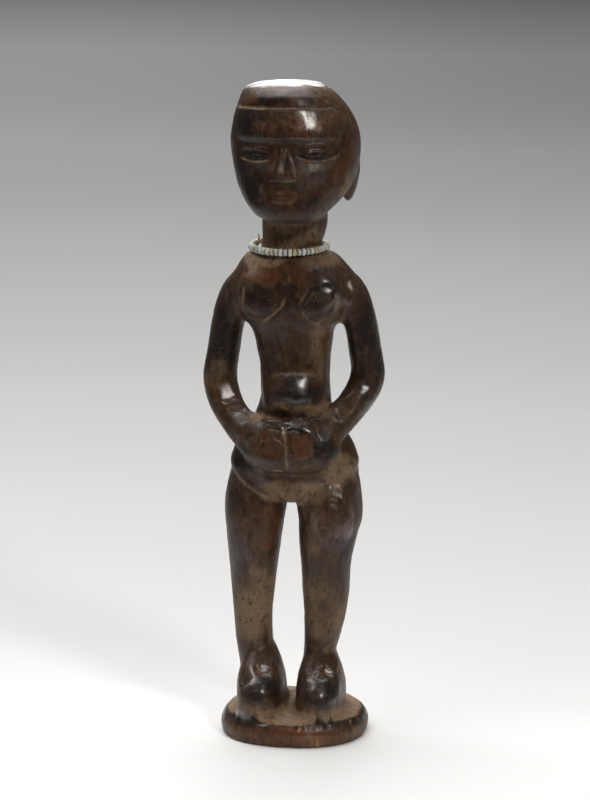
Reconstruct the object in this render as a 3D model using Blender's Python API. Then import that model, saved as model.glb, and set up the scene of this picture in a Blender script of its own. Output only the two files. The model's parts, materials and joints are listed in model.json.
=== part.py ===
"""Carved wooden doll on a round base, wearing a loop of glass seed beads on a thread.

The figure is one piece of wood, as its carver left it. It faces -Y, +Z is up, and the origin is
the centre of the flat underside of its base. The loop lies on the shoulders and can turn round
the neck, and each bead can spin on the thread. Sizes are in millimetres, turned into metres by MM.
"""

import math
from dataclasses import dataclass

import bmesh
import bpy
from mathutils import Matrix, Vector

MM = 0.001

# Overall sizes of the carving, from the ground up.
BASE_WIDTH = 60.8
BASE_DEPTH = 56.5
BASE_THICKNESS = 10.5
HEEL_RIDGE = 4.0
LEG_LENGTH = 86.5
PELVIS_HEIGHT = 42.0
TORSO_HEIGHT = 61.4
NECK_LENGTH = 13.3
HEAD_HEIGHT = 54.0

# Widths and depths of its parts.
FOOT_WIDTH = 19.6
FOOT_LENGTH = 37.0
FOOT_HEIGHT = 25.0
THIGH_WIDTH = 26.6
THIGH_DEPTH = 27.0
LEG_SPACING = 30.0
PELVIS_WIDTH = 53.0
PELVIS_DEPTH = 32.0
SEAT_RISE = 4.0
TORSO_WIDTH = 57.0
TORSO_DEPTH = 35.0
NECK_WIDTH = 24.0
NECK_DEPTH = 23.6
HEAD_WIDTH = 52.0
HEAD_DEPTH = 55.0
ARM_WIDTH = 13.8
ARM_DEPTH = 16.4
ELBOW_SPAN = 62.4
ELBOW_DROP = 55.0
HAND_HEIGHT = 22.0
HAND_THICKNESS = 11.6
HAND_DROP = 76.8
HAND_REACH = 19.2

# Face, hair and hip carving.
NOSE_WIDTH = 8.8
NOSE_LENGTH = 10.0
NOSE_RISE = 3.8
EYE_LENGTH = 14.0
EYE_SLIT = 1.3
EYE_DEPTH = 1.1
MOUTH_LENGTH = 9.5
MOUTH_SLIT = 1.0
HAIR_GROOVE = 0.9
HAIR_GROOVE_DEPTH = 0.5
LOBE_LENGTH = 21.0
LOBE_THICKNESS = 6.0
BREAST_WIDTH = 20.0
BREAST_RISE = 4.6

# Bead loop.
BEAD_COUNT = 50
BEAD_DIAMETER = 3.0
BEAD_HOLE = 1.2
BEAD_GAP = 0.3
THREAD_DIAMETER = 0.5
KNOT_DIAMETER = 2.0
KNOT_TAIL = 2.4
LOOP_SLACK = 1.5
LOOP_SHIFT_X = -2.2
LOOP_SHIFT_Y = -1.0
LOOP_TILT = math.radians(2.0)
KNOT_ANGLE = math.radians(153.0)
REST_GAP = 0.3

# Levels that follow from the sizes above.
BASE_TOP = BASE_THICKNESS
CROTCH = BASE_TOP + LEG_LENGTH
WAIST = CROTCH + PELVIS_HEIGHT
SHOULDER_TOP = WAIST + TORSO_HEIGHT
CHIN = SHOULDER_TOP + NECK_LENGTH

# Mesh fineness.
RING_SIDES = 40
VOXEL = 1.05
SMOOTH_STEPS = 5
FIGURE_SHARE = 0.052
BEAD_SIDES = 10
THREAD_POINTS = 78


@dataclass(frozen=True)
class Station:
    """One cross-section of a column: where it is and how large, as shares of the column's sizes.

    level is a share of the height. width and depth are shares of the half width and half depth.
    x and y shift its centre, in millimetres. square is 2 for an ellipse and more for a squarer one.
    """

    level: float
    width: float
    depth: float
    x: float = 0.0
    y: float = 0.0
    square: float = 2.0


@dataclass(frozen=True)
class Knuckle:
    """One cross-section of a limb, square to its path.

    at is its centre, and width and depth are its half sizes, all in millimetres.
    """

    at: tuple
    width: float
    depth: float


# The legs differ: the left knee turns out a little, and the right shin is slimmer.
LEFT_LEG = (
    Station(-0.02, 0.62, 0.62, x=1.4, y=3.0),
    Station(0.1, 0.6, 0.6, x=0.2, y=3.4),
    Station(0.2, 0.58, 0.57, x=-1.0, y=3.4),
    Station(0.26, 0.58, 0.57, x=-1.7, y=3.0),
    Station(0.32, 0.58, 0.6, x=-2.3, y=2.6),
    Station(0.45, 0.61, 0.68, x=-2.6, y=1.6),
    Station(0.58, 0.68, 0.77, x=-2.3, y=0.6),
    Station(0.7, 0.755, 0.85, x=-2.0, y=0.0),
    Station(0.82, 0.84, 0.93, x=-1.6, y=-0.2),
    Station(0.92, 0.93, 1.0, x=-1.4, y=0.0),
    Station(1.02, 0.98, 1.0, x=-0.7, y=0.4),
    Station(1.14, 0.93, 0.94, x=0.6, y=0.8),
    Station(1.26, 0.7, 0.8, x=2.6, y=0.8),
)

RIGHT_LEG = (
    Station(-0.02, 0.6, 0.62, x=-3.6, y=3.0),
    Station(0.1, 0.56, 0.6, x=-4.4, y=3.4),
    Station(0.2, 0.5, 0.56, x=-5.2, y=3.4),
    Station(0.26, 0.51, 0.56, x=-4.9, y=3.0),
    Station(0.32, 0.54, 0.6, x=-4.2, y=2.6),
    Station(0.45, 0.65, 0.69, x=-2.6, y=1.6),
    Station(0.58, 0.73, 0.79, x=-2.1, y=0.6),
    Station(0.7, 0.765, 0.86, x=-2.0, y=0.0),
    Station(0.82, 0.88, 0.95, x=-1.4, y=-0.2),
    Station(0.92, 0.98, 1.0, x=-0.3, y=0.0),
    Station(1.02, 1.02, 1.0, x=-0.9, y=0.4),
    Station(1.14, 0.95, 0.94, x=-1.6, y=0.8),
    Station(1.26, 0.7, 0.8, x=-2.6, y=0.8),
)


def clear_scene():
    for obj in list(bpy.data.objects):
        bpy.data.objects.remove(obj, do_unlink=True)


def make_material(name, colour, roughness, metallic=0.0):
    material = bpy.data.materials.new(name)
    material.use_nodes = True
    shader = material.node_tree.nodes["Principled BSDF"]
    shader.inputs["Base Color"].default_value = (*colour, 1.0)
    shader.inputs["Roughness"].default_value = roughness
    shader.inputs["Metallic"].default_value = metallic
    return material


def make_object(name, mesh_bm, material=None):
    """Turns a bmesh into a linked object, with its faces pointing out."""
    bmesh.ops.recalc_face_normals(mesh_bm, faces=mesh_bm.faces)
    mesh = bpy.data.meshes.new(name)
    mesh_bm.to_mesh(mesh)
    mesh_bm.free()
    obj = bpy.data.objects.new(name, mesh)
    bpy.context.scene.collection.objects.link(obj)
    if material:
        mesh.materials.append(material)
    return obj


def superellipse(half_width, half_depth, square, sides):
    """Points round a superellipse, from +X towards +Y."""
    points = []
    for index in range(sides):
        angle = 2 * math.pi * index / sides
        cosine = math.cos(angle)
        sine = math.sin(angle)
        x = math.copysign(abs(cosine) ** (2 / square), cosine) * half_width
        y = math.copysign(abs(sine) ** (2 / square), sine) * half_depth
        points.append((x, y))
    return points


def skin_rings(mesh_bm, rings):
    """Joins rings of equal length with faces and closes both ends."""
    rows = [[mesh_bm.verts.new(Vector(point) * MM) for point in ring] for ring in rings]
    for lower, upper in zip(rows, rows[1:]):
        for index in range(len(lower)):
            after = (index + 1) % len(lower)
            mesh_bm.faces.new((lower[index], lower[after], upper[after], upper[index]))
    mesh_bm.faces.new(rows[0][::-1])
    mesh_bm.faces.new(rows[-1])


def spline_rows(rows, steps):
    """Reads a smooth curve through rows of numbers, steps times between each pair of rows."""
    finer = []
    for index in range(len(rows) - 1):
        before = rows[max(index - 1, 0)]
        start = rows[index]
        end = rows[index + 1]
        beyond = rows[min(index + 2, len(rows) - 1)]
        for step in range(steps):
            t = step / steps
            row = []
            for p0, p1, p2, p3 in zip(before, start, end, beyond):
                bend = 2 * p1 + (p2 - p0) * t
                bend += (2 * p0 - 5 * p1 + 4 * p2 - p3) * t**2
                bend += (3 * p1 - p0 - 3 * p2 + p3) * t**3
                row.append(bend / 2)
            finer.append(row)
    finer.append(list(rows[-1]))
    return finer


def add_column(mesh_bm, bottom, height, width, depth, stations, centre=(0.0, 0.0), steps=4):
    """Adds an upright closed body through stations, from the lowest to the highest."""
    rows = [(s.level, s.width, s.depth, s.x, s.y, s.square) for s in stations]
    rings = []
    for level, wide, deep, x, y, square in spline_rows(rows, steps):
        outline = superellipse(width / 2 * wide, depth / 2 * deep, square, RING_SIDES)
        z = bottom + height * level
        rings.append([(centre[0] + x + px, centre[1] + y + py, z) for px, py in outline])
    skin_rings(mesh_bm, rings)


def add_limb(mesh_bm, knuckles, steps=4):
    """Adds a closed body along a path, its sections square to the path and upright in depth."""
    rows = [(*k.at, k.width, k.depth) for k in knuckles]
    fine = spline_rows(rows, steps)
    centres = [Vector(row[:3]) for row in fine]
    rings = []
    for index, row in enumerate(fine):
        ahead = centres[min(index + 1, len(fine) - 1)]
        behind = centres[max(index - 1, 0)]
        along = (ahead - behind).normalized()
        depth_axis = Vector((0, 1, 0)) - along * along.y
        depth_axis.normalize()
        width_axis = along.cross(depth_axis)
        outline = superellipse(row[3], row[4], 2.0, RING_SIDES)
        rings.append([centres[index] + width_axis * px + depth_axis * py for px, py in outline])
    skin_rings(mesh_bm, rings)


def add_ellipsoid(mesh_bm, centre, radii, tilt=0.0, lean=0.0):
    """Adds an ellipsoid, tilted about X and then leaned about Y."""
    turn = Matrix.Rotation(lean, 4, "Y") @ Matrix.Rotation(tilt, 4, "X")
    place = Matrix.Translation(Vector(centre) * MM) @ turn
    size = Matrix.Diagonal((*[radius * MM for radius in radii], 1.0))
    bmesh.ops.create_uvsphere(mesh_bm, u_segments=24, v_segments=14, radius=1.0, matrix=place @ size)


def add_base(mesh_bm):
    """The slab that the feet stand on, carried below the ground so that the cut leaves a flat underside."""
    stations = (
        Station(-0.3, 0.955, 0.955, square=2.35),
        Station(0.0, 0.975, 0.975, square=2.35),
        Station(0.25, 0.995, 0.995, square=2.3),
        Station(0.55, 1.0, 1.0, square=2.25),
        Station(0.8, 0.955, 0.955, square=2.15),
        Station(0.95, 0.87, 0.87, square=2.1),
        Station(1.05, 0.6, 0.6, square=2.1),
    )
    add_column(mesh_bm, 0.0, BASE_THICKNESS, BASE_WIDTH, BASE_DEPTH, stations)
    add_ellipsoid(mesh_bm, (1.5, 5.0, BASE_THICKNESS - 0.6), (11.0, 15.0, HEEL_RIDGE))


def add_leg(mesh_bm, side):
    """A thigh and shin, from the base up into the pelvis. side is -1 or 1."""
    stations = LEFT_LEG if side < 0 else RIGHT_LEG
    centre = (LEG_SPACING / 2 * side, 0.0)
    add_column(mesh_bm, BASE_TOP, LEG_LENGTH, THIGH_WIDTH, THIGH_DEPTH, stations, centre)


def add_foot(mesh_bm, side):
    """A hoof-like foot: a steep instep above a blunt front. side is -1 or 1."""
    stations = (
        Station(-0.1, 0.96, 0.96, square=2.5),
        Station(0.14, 1.0, 1.0, square=2.5),
        Station(0.34, 1.0, 0.99, x=0.2 * side, y=0.2, square=2.4),
        Station(0.5, 0.97, 0.93, x=0.2 * side - 0.3, y=1.2, square=2.2),
        Station(0.68, 0.86, 0.8, x=0.3 * side - 0.7, y=3.4, square=2.1),
        Station(0.84, 0.7, 0.62, x=0.1 * side - 1.0, y=6.2),
        Station(0.98, 0.46, 0.4, x=-0.2 * side - 1.0, y=9.0),
        Station(1.06, 0.22, 0.2, x=-0.3 * side - 0.8, y=10.5),
    )
    centre = ((FOOT_WIDTH / 2 + 2.4) * side - 0.7, -5.0)
    add_column(mesh_bm, BASE_TOP, FOOT_HEIGHT, FOOT_WIDTH, FOOT_LENGTH, stations, centre)


def add_pelvis(mesh_bm):
    """Hips whose lower front edge is a V, standing a little proud of the thighs, and the seat behind."""
    stations = (
        Station(0.03, 0.08, 0.7, x=0.4, y=-1.0, square=2.2),
        Station(0.09, 0.22, 0.96, x=-0.2, y=-1.0, square=2.2),
        Station(0.18, 0.47, 1.0, x=-1.2, y=-0.9, square=2.2),
        Station(0.29, 0.78, 1.01, x=-1.0, y=-0.7, square=2.3),
        Station(0.36, 0.98, 1.0, x=-0.1, y=-0.5, square=2.3),
        Station(0.41, 1.0, 0.99, y=-0.3, square=2.3),
        Station(0.5, 0.96, 0.97, y=0.0, square=2.2),
        Station(0.6, 0.9, 0.93, y=0.0, square=2.2),
        Station(0.75, 0.73, 0.88, y=0.0, square=2.1),
        Station(0.9, 0.59, 0.86, y=0.0),
        Station(1.05, 0.54, 0.85, x=0.5, y=0.0),
    )
    add_column(mesh_bm, CROTCH, PELVIS_HEIGHT, PELVIS_WIDTH, PELVIS_DEPTH, stations)
    for side in (-1, 1):
        seat = (12.0 * side, PELVIS_DEPTH / 2 - SEAT_RISE, CROTCH + 10.0)
        add_ellipsoid(mesh_bm, seat, (13.0, 1.8 * SEAT_RISE, 16.0), tilt=math.radians(6))


def add_torso(mesh_bm):
    """The trunk from waist to shoulders, with its belly and two low breasts."""
    stations = (
        Station(-0.08, 0.5, 0.78, x=0.6, y=-0.6),
        Station(0.0, 0.5, 0.84, x=0.6, y=-1.0),
        Station(0.12, 0.498, 0.86, x=0.4, y=-1.2),
        Station(0.26, 0.505, 0.82, x=0.2, y=-0.6),
        Station(0.33, 0.525, 0.83, x=-0.2, y=-0.3),
        Station(0.42, 0.555, 0.86, x=-0.3, y=-0.2),
        Station(0.5, 0.6, 0.9, x=-0.7, y=-0.2, square=2.1),
        Station(0.56, 0.72, 0.94, x=-0.7, y=-0.2, square=2.2),
        Station(0.66, 0.84, 0.98, x=-0.5, y=0.0, square=2.3),
        Station(0.76, 0.9, 1.0, x=-0.4, y=0.0, square=2.3),
        Station(0.84, 0.86, 0.99, x=-0.5, y=0.0, square=2.3),
        Station(0.91, 0.765, 0.97, x=-0.8, y=0.0, square=2.3),
        Station(0.96, 0.675, 0.93, x=-1.2, y=0.0, square=2.2),
        Station(0.988, 0.6, 0.86, x=-1.7, y=0.2, square=2.2),
        Station(1.0, 0.5, 0.72, x=-1.6, y=0.6, square=2.1),
    )
    add_column(mesh_bm, WAIST, TORSO_HEIGHT, TORSO_WIDTH, TORSO_DEPTH, stations)
    for side in (-1, 1):
        breast = (9.6 * side - 0.4, 3.6 - TORSO_DEPTH / 2, SHOULDER_TOP - 14.5)
        radii = (BREAST_WIDTH / 2, BREAST_RISE, BREAST_WIDTH * 0.52)
        add_ellipsoid(mesh_bm, breast, radii, tilt=math.radians(-11), lean=math.radians(-24 * side))


def add_arm(mesh_bm, side):
    """An arm from the shoulder, bent at the elbow, to the hand clasped before the belly."""
    elbow_x = ELBOW_SPAN / 2
    elbow_z = SHOULDER_TOP - ELBOW_DROP
    hand_z = SHOULDER_TOP - HAND_DROP
    wide = ARM_WIDTH / 2
    deep = ARM_DEPTH / 2
    palm = HAND_HEIGHT / 2
    thick = HAND_THICKNESS / 2
    lift = 0.5 if side < 0 else 4.0
    inset = 0.0 if side < 0 else 1.6
    knuckles = (
        Knuckle(((elbow_x - 14.0) * side, 0.5, elbow_z + 44.0), wide * 0.9, deep * 1.0),
        Knuckle(((elbow_x - 8.2 - inset * 0.4) * side, 0.8, elbow_z + 37.5), wide * 1.04, deep * 1.1),
        Knuckle(((elbow_x - 4.0 - inset * 0.5) * side, 1.6, elbow_z + 27.0), wide * 0.98, deep * 1.04),
        Knuckle(((elbow_x - 1.8 - inset * 0.6) * side, 2.2, elbow_z + 14.0), wide * 0.96, deep),
        Knuckle(((elbow_x - inset) * side, 2.0, elbow_z + 2.0 + lift * 0.6), wide, deep * 0.97),
        Knuckle(((elbow_x - 2.6 - inset) * side, -1.5, elbow_z - 7.0 + lift), wide * 1.0, deep * 0.9),
        Knuckle(((elbow_x - 8.6 - inset) * side, -7.5, elbow_z - 14.5 + lift), wide * 0.97, deep * 0.8),
        Knuckle(
            ((elbow_x - 15.5 - inset) * side, -12.6, elbow_z - 19.0 + lift * 0.6), palm * 0.74, deep * 0.74
        ),
        Knuckle((10.5 * side + 0.6, -HAND_REACH + 3.0, hand_z), palm * 0.93, thick),
        Knuckle((5.4 * side + 0.4, -HAND_REACH + 1.0, hand_z), palm, thick),
        Knuckle((-0.6 * side, -HAND_REACH + 0.4, hand_z), palm * 0.98, thick * 0.96),
    )
    add_limb(mesh_bm, knuckles)


def add_neck(mesh_bm):
    """The neck, a little wider under the jaw, sunk into the shoulders and the head."""
    stations = (
        Station(-0.5, 1.0, 1.0, x=-1.3, y=-0.2),
        Station(0.1, 0.985, 1.0, x=-1.3, y=-0.4),
        Station(0.4, 1.04, 1.02, x=-0.5, y=-0.4),
        Station(0.8, 1.1, 1.06, x=0.0, y=0.0),
        Station(1.2, 1.1, 1.08, x=0.0, y=0.6),
        Station(1.7, 1.0, 1.0, x=0.2, y=1.0),
    )
    add_column(mesh_bm, SHOULDER_TOP, NECK_LENGTH, NECK_WIDTH, NECK_DEPTH, stations)


def add_head(mesh_bm):
    """The egg-shaped head with its flat crown, wedge nose and the lobes behind the jaw."""
    stations = (
        Station(0.0, 0.3, 0.3, x=0.6, y=-14.5),
        Station(0.02, 0.42, 0.42, x=0.4, y=-13.6),
        Station(0.06, 0.55, 0.56, x=0.2, y=-11.8),
        Station(0.11, 0.655, 0.7, x=0.2, y=-9.2),
        Station(0.17, 0.765, 0.82, x=0.3, y=-6.2, square=2.05),
        Station(0.25, 0.865, 0.9, x=0.6, y=-3.8, square=2.1),
        Station(0.33, 0.92, 0.95, x=0.7, y=-2.2, square=2.15),
        Station(0.42, 0.965, 0.98, x=0.7, y=-0.9, square=2.2),
        Station(0.52, 0.99, 0.99, x=0.5, y=0.3, square=2.2),
        Station(0.6, 0.99, 0.99, x=0.2, y=0.6, square=2.2),
        Station(0.68, 0.955, 0.99, x=0.0, y=0.3, square=2.2),
        Station(0.77, 0.9, 0.95, x=-0.7, y=0.3, square=2.2),
        Station(0.86, 0.805, 0.89, x=-1.6, y=0.2, square=2.2),
        Station(0.92, 0.72, 0.83, x=-2.5, y=0.0, square=2.2),
        Station(0.957, 0.65, 0.77, x=-3.2, y=-0.6, square=2.2),
        Station(0.984, 0.55, 0.67, x=-3.6, y=-1.0, square=2.2),
        Station(1.0, 0.36, 0.48, x=-3.6, y=-1.0, square=2.2),
    )
    add_column(mesh_bm, CHIN, HEAD_HEIGHT, HEAD_WIDTH, HEAD_DEPTH, stations)
    for side in (-1, 1):
        middle = CHIN + LOBE_LENGTH / 2 + 4.6
        lobe = ((HEAD_WIDTH / 2 - 5.2) * side + 0.7, 10.0, middle)
        radii = (LOBE_THICKNESS / 2, 6.0, LOBE_LENGTH / 2)
        add_ellipsoid(mesh_bm, lobe, radii, tilt=math.radians(-8), lean=math.radians(9 * side))


def add_nose(mesh_bm):
    """A wedge that widens and rises from the brow to its blunt tip."""
    top = CHIN + HEAD_HEIGHT * 0.56
    face = -HEAD_DEPTH / 2
    rings = []
    for share, width, rise in ((0.0, 0.3, -0.1), (0.45, 0.6, 0.3), (0.85, 0.96, 0.82), (1.0, 1.0, 1.0)):
        z = top - NOSE_LENGTH * share
        half = NOSE_WIDTH / 2 * width
        front = face - NOSE_RISE * rise
        rings.append([(half, face + 6, z), (half, face, z), (half * 0.3, front, z)])
        rings[-1] += [(-half * 0.3, front, z), (-half, face, z), (-half, face + 6, z)]
    skin_rings(mesh_bm, rings)


def add_block(mesh_bm, centre, size):
    """Adds a box of the given size."""
    place = Matrix.Translation(Vector(centre) * MM)
    scale = Matrix.Diagonal((*[edge * MM for edge in size], 1.0))
    bmesh.ops.create_cube(mesh_bm, size=1.0, matrix=place @ scale)


def make_cutter(name, build):
    """Makes a hidden body that a Boolean takes away, built by the function given."""
    mesh_bm = bmesh.new()
    build(mesh_bm)
    cutter = make_object(name, mesh_bm)
    cutter.hide_render = True
    cutter.display_type = "WIRE"
    return cutter


def cut_ground(mesh_bm):
    """Everything below the ground, which leaves the base a flat underside."""
    drop = BASE_THICKNESS
    add_block(mesh_bm, (0, 0, -drop / 2), (BASE_WIDTH * 1.5, BASE_DEPTH * 1.5, drop))


def cut_face(mesh_bm):
    """Two eye slits and a mouth slit, each a flat lens let into the front of the face."""
    eye_z = CHIN + HEAD_HEIGHT * 0.525
    mouth_z = CHIN + HEAD_HEIGHT * 0.235
    for side in (-1, 1):
        eye = (13.0 * side + 0.4, -HEAD_DEPTH / 2 + 4.2 - EYE_DEPTH, eye_z)
        add_ellipsoid(mesh_bm, eye, (EYE_LENGTH / 2, 4.0, EYE_SLIT / 2))
    mouth = (-0.3, -HEAD_DEPTH / 2 + 2.0, mouth_z)
    add_ellipsoid(mesh_bm, mouth, (MOUTH_LENGTH / 2, 3.2, MOUTH_SLIT / 2))


def cut_hair(mesh_bm):
    """A thin ring that marks the edge of the cap of hair, let in all round the head."""
    level = CHIN + HEAD_HEIGHT * 0.853
    depth = HAIR_GROOVE_DEPTH
    inner = superellipse(HEAD_WIDTH / 2 * 0.812 - depth, HEAD_DEPTH / 2 * 0.895 - depth, 2.2, RING_SIDES)
    rows = []
    for share, drop in ((1.0, 0.5), (1.0, -0.5), (1.16, -0.5), (1.16, 0.5)):
        z = level + HAIR_GROOVE * drop
        rows.append([mesh_bm.verts.new(Vector((x * share - 1.4, y * share + 0.2, z)) * MM) for x, y in inner])
    for row, following in zip(rows, rows[1:] + rows[:1]):
        for index in range(RING_SIDES):
            after = (index + 1) % RING_SIDES
            mesh_bm.faces.new((row[index], row[after], following[after], following[index]))


def make_figure(material):
    """The whole carving: overlapping masses fused into one skin, smoothed and then cut."""
    mesh_bm = bmesh.new()
    add_base(mesh_bm)
    add_pelvis(mesh_bm)
    add_torso(mesh_bm)
    add_neck(mesh_bm)
    add_head(mesh_bm)
    add_nose(mesh_bm)
    for side in (-1, 1):
        add_leg(mesh_bm, side)
        add_foot(mesh_bm, side)
        add_arm(mesh_bm, side)
    figure = make_object("figure", mesh_bm, material)
    fuse = figure.modifiers.new("fuse", "REMESH")
    fuse.mode = "VOXEL"
    fuse.voxel_size = VOXEL * MM
    soften = figure.modifiers.new("soften", "SMOOTH")
    soften.factor = 0.5
    soften.iterations = SMOOTH_STEPS
    thin = figure.modifiers.new("thin", "DECIMATE")
    thin.ratio = FIGURE_SHARE
    for build in (cut_ground, cut_face, cut_hair):
        cutter = make_cutter(build.__name__, build)
        cut = figure.modifiers.new(build.__name__, "BOOLEAN")
        cut.operation = "DIFFERENCE"
        cut.object = cutter
    return figure


def loop_frame():
    """The loop's own axes: its centre, X to the right, Y back and Z along its axis."""
    height = SHOULDER_TOP + BEAD_DIAMETER / 2 + REST_GAP
    centre = Vector((LOOP_SHIFT_X, LOOP_SHIFT_Y, height)) * MM
    return Matrix.Translation(centre) @ Matrix.Rotation(LOOP_TILT, 4, "X")


def loop_radius():
    return NECK_WIDTH / 2 + LOOP_SLACK + BEAD_DIAMETER / 2


def knot_share():
    """Half the angle that the knot takes up on the loop, with its gaps."""
    return (KNOT_DIAMETER / 2 + BEAD_GAP) / loop_radius()


def bead_angle(index):
    """Where a bead's middle is on the loop."""
    free = 2 * math.pi - 2 * knot_share()
    return KNOT_ANGLE + knot_share() + free * (index + 0.5) / BEAD_COUNT


def make_bead(index, material, holder):
    """A short glass tube with a rounded outside, its axis along the thread."""
    pitch = (2 * math.pi - 2 * knot_share()) / BEAD_COUNT * loop_radius()
    half = (pitch - BEAD_GAP) / 2
    outer = BEAD_DIAMETER / 2
    hole = BEAD_HOLE / 2
    rim = (outer * 0.8, half)
    mouth = (hole, half * 0.72)
    profile = ((mouth[0], -mouth[1]), (rim[0], -rim[1]), (outer, 0.0), rim, mouth)
    mesh_bm = bmesh.new()
    rows = []
    for radius, along in profile:
        row = []
        for side in range(BEAD_SIDES):
            angle = 2 * math.pi * side / BEAD_SIDES
            corner = Vector((math.cos(angle) * radius, along, math.sin(angle) * radius))
            row.append(mesh_bm.verts.new(corner * MM))
        rows.append(row)
    for row, following in zip(rows, rows[1:] + rows[:1]):
        for side in range(BEAD_SIDES):
            after = (side + 1) % BEAD_SIDES
            mesh_bm.faces.new((row[side], row[after], following[after], following[side]))
    bead = make_object(f"bead_{index + 1:02d}", mesh_bm, material)
    place = Matrix.Rotation(bead_angle(index), 4, "Z") @ Matrix.Translation((loop_radius() * MM, 0, 0))
    bead.parent = holder
    bead.matrix_local = place
    return bead


def make_thread(material, holder):
    """The thread, an open run from one side of the knot round to the other."""
    curve = bpy.data.curves.new("neck_thread", "CURVE")
    curve.dimensions = "3D"
    curve.bevel_depth = THREAD_DIAMETER / 2 * MM
    curve.bevel_resolution = 2
    curve.use_fill_caps = True
    spline = curve.splines.new("POLY")
    spline.points.add(THREAD_POINTS - 1)
    start = KNOT_ANGLE + knot_share()
    sweep = 2 * math.pi - 2 * knot_share()
    for index, point in enumerate(spline.points):
        angle = start + sweep * index / (THREAD_POINTS - 1)
        radius = loop_radius() * MM
        point.co = (math.cos(angle) * radius, math.sin(angle) * radius, 0.0, 1.0)
    thread = bpy.data.objects.new("neck_thread", curve)
    bpy.context.scene.collection.objects.link(thread)
    curve.materials.append(material)
    thread.parent = holder
    return thread


def make_knot(material, holder):
    """The knot that closes the loop, with the cut end of the thread standing up from it."""
    ball = KNOT_DIAMETER / 2
    tail = THREAD_DIAMETER / 2
    turns = [step * math.pi / 6 for step in range(1, 5)]
    profile = [(math.sin(turn) * ball, -math.cos(turn) * ball) for turn in turns]
    profile += [(tail * 1.6, ball * 0.95), (tail, ball + KNOT_TAIL * 0.4), (tail, ball + KNOT_TAIL)]
    mesh_bm = bmesh.new()
    rings = []
    for radius, height in profile:
        ring = []
        for side in range(BEAD_SIDES):
            angle = 2 * math.pi * side / BEAD_SIDES
            ring.append((math.cos(angle) * radius, math.sin(angle) * radius, height))
        rings.append(ring)
    skin_rings(mesh_bm, rings)
    knot = make_object("thread_knot", mesh_bm, material)
    knot.parent = holder
    knot.matrix_local = Matrix.Rotation(KNOT_ANGLE, 4, "Z") @ Matrix.Translation((loop_radius() * MM, 0, 0))
    return knot


def make_loop(glass, thread_fibre):
    """The bead loop on its own empty, whose Z axis is the axis that the loop turns about."""
    holder = bpy.data.objects.new("loop_axis", None)
    bpy.context.scene.collection.objects.link(holder)
    holder.matrix_world = loop_frame()
    make_thread(thread_fibre, holder)
    make_knot(thread_fibre, holder)
    for index in range(BEAD_COUNT):
        make_bead(index, glass[index % len(glass)], holder)


def main():
    clear_scene()
    wood = make_material("carved_wood", (0.075, 0.036, 0.02), 0.32)
    white = make_material("white_glass", (0.72, 0.74, 0.7), 0.22)
    grey_green = make_material("grey_green_glass", (0.5, 0.56, 0.5), 0.25)
    cream = make_material("cream_glass", (0.62, 0.55, 0.4), 0.28)
    fibre = make_material("thread_fibre", (0.55, 0.36, 0.14), 0.85)
    make_figure(wood)
    make_loop((white, grey_green, white, cream, grey_green), fibre)


main()
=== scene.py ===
"""The finished look of a carved wooden fertility doll that wears a strand of glass seed beads.

Lengths are in millimetres in the dataclasses and in metres once they reach Blender. The doll faces -Y and
its base stands on z = 0. The carving is one piece of wood, so its look is one piece: a fine skin over the CAD
shape that is then cut with named strokes. The strand is made bead by bead.
"""

import json
import logging
import math
from dataclasses import dataclass
from enum import Enum

import bpy
import numpy as np
from mathutils import Matrix, Vector, noise
from mathutils.bvhtree import BVHTree
from mathutils.kdtree import KDTree

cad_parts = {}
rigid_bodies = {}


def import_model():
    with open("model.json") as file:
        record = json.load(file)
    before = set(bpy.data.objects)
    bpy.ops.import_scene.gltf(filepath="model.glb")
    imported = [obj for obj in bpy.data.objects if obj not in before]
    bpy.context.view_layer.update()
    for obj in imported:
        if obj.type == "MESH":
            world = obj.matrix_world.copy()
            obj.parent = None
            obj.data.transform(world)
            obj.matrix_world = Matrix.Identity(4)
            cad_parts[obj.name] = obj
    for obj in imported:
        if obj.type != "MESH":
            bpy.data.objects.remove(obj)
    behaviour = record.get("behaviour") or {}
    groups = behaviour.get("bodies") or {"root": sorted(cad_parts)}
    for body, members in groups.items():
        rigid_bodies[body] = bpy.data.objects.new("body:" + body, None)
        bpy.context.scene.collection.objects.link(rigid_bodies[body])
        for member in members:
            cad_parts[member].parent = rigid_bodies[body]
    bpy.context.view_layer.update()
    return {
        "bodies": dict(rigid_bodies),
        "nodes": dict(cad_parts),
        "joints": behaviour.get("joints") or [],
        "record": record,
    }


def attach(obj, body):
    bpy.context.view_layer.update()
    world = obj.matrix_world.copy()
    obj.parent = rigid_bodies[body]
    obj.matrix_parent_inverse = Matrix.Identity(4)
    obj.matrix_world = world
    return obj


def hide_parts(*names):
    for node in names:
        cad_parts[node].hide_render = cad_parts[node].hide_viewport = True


LOG = logging.getLogger("doll")
MM = 0.001
FAR_OFF = 150.0  # well outside the doll, in mm
BASE_CLEAR = 16.0  # just over the base's top, in mm
STROKE_STEP = 0.5  # between the points of a stroke, in mm

Colour = tuple[float, float, float]
Point2 = tuple[float, float]
Point3 = tuple[float, float, float]


# ---------------------------------------------------------------- small tools


def deselect_all() -> None:
    """Leaves nothing selected, so that an operator works on one piece only."""
    if bpy.context.mode != "OBJECT":
        bpy.ops.object.mode_set(mode="OBJECT")
    bpy.ops.object.select_all(action="DESELECT")


def make_active(obj: bpy.types.Object) -> None:
    """Selects one object and makes it the active one."""
    deselect_all()
    obj.select_set(True)
    bpy.context.view_layer.objects.active = obj


def apply_modifier(obj: bpy.types.Object, kind: str, **settings: object) -> None:
    """Adds a modifier of this kind with these settings, and applies it.

    Args:
        obj: the mesh object.
        kind: the modifier's type, such as "REMESH".
        settings: the modifier's properties.
    """
    make_active(obj)
    modifier = obj.modifiers.new(kind.title(), kind)
    for name, value in settings.items():
        setattr(modifier, name, value)
    bpy.ops.object.modifier_apply(modifier=modifier.name)


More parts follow.
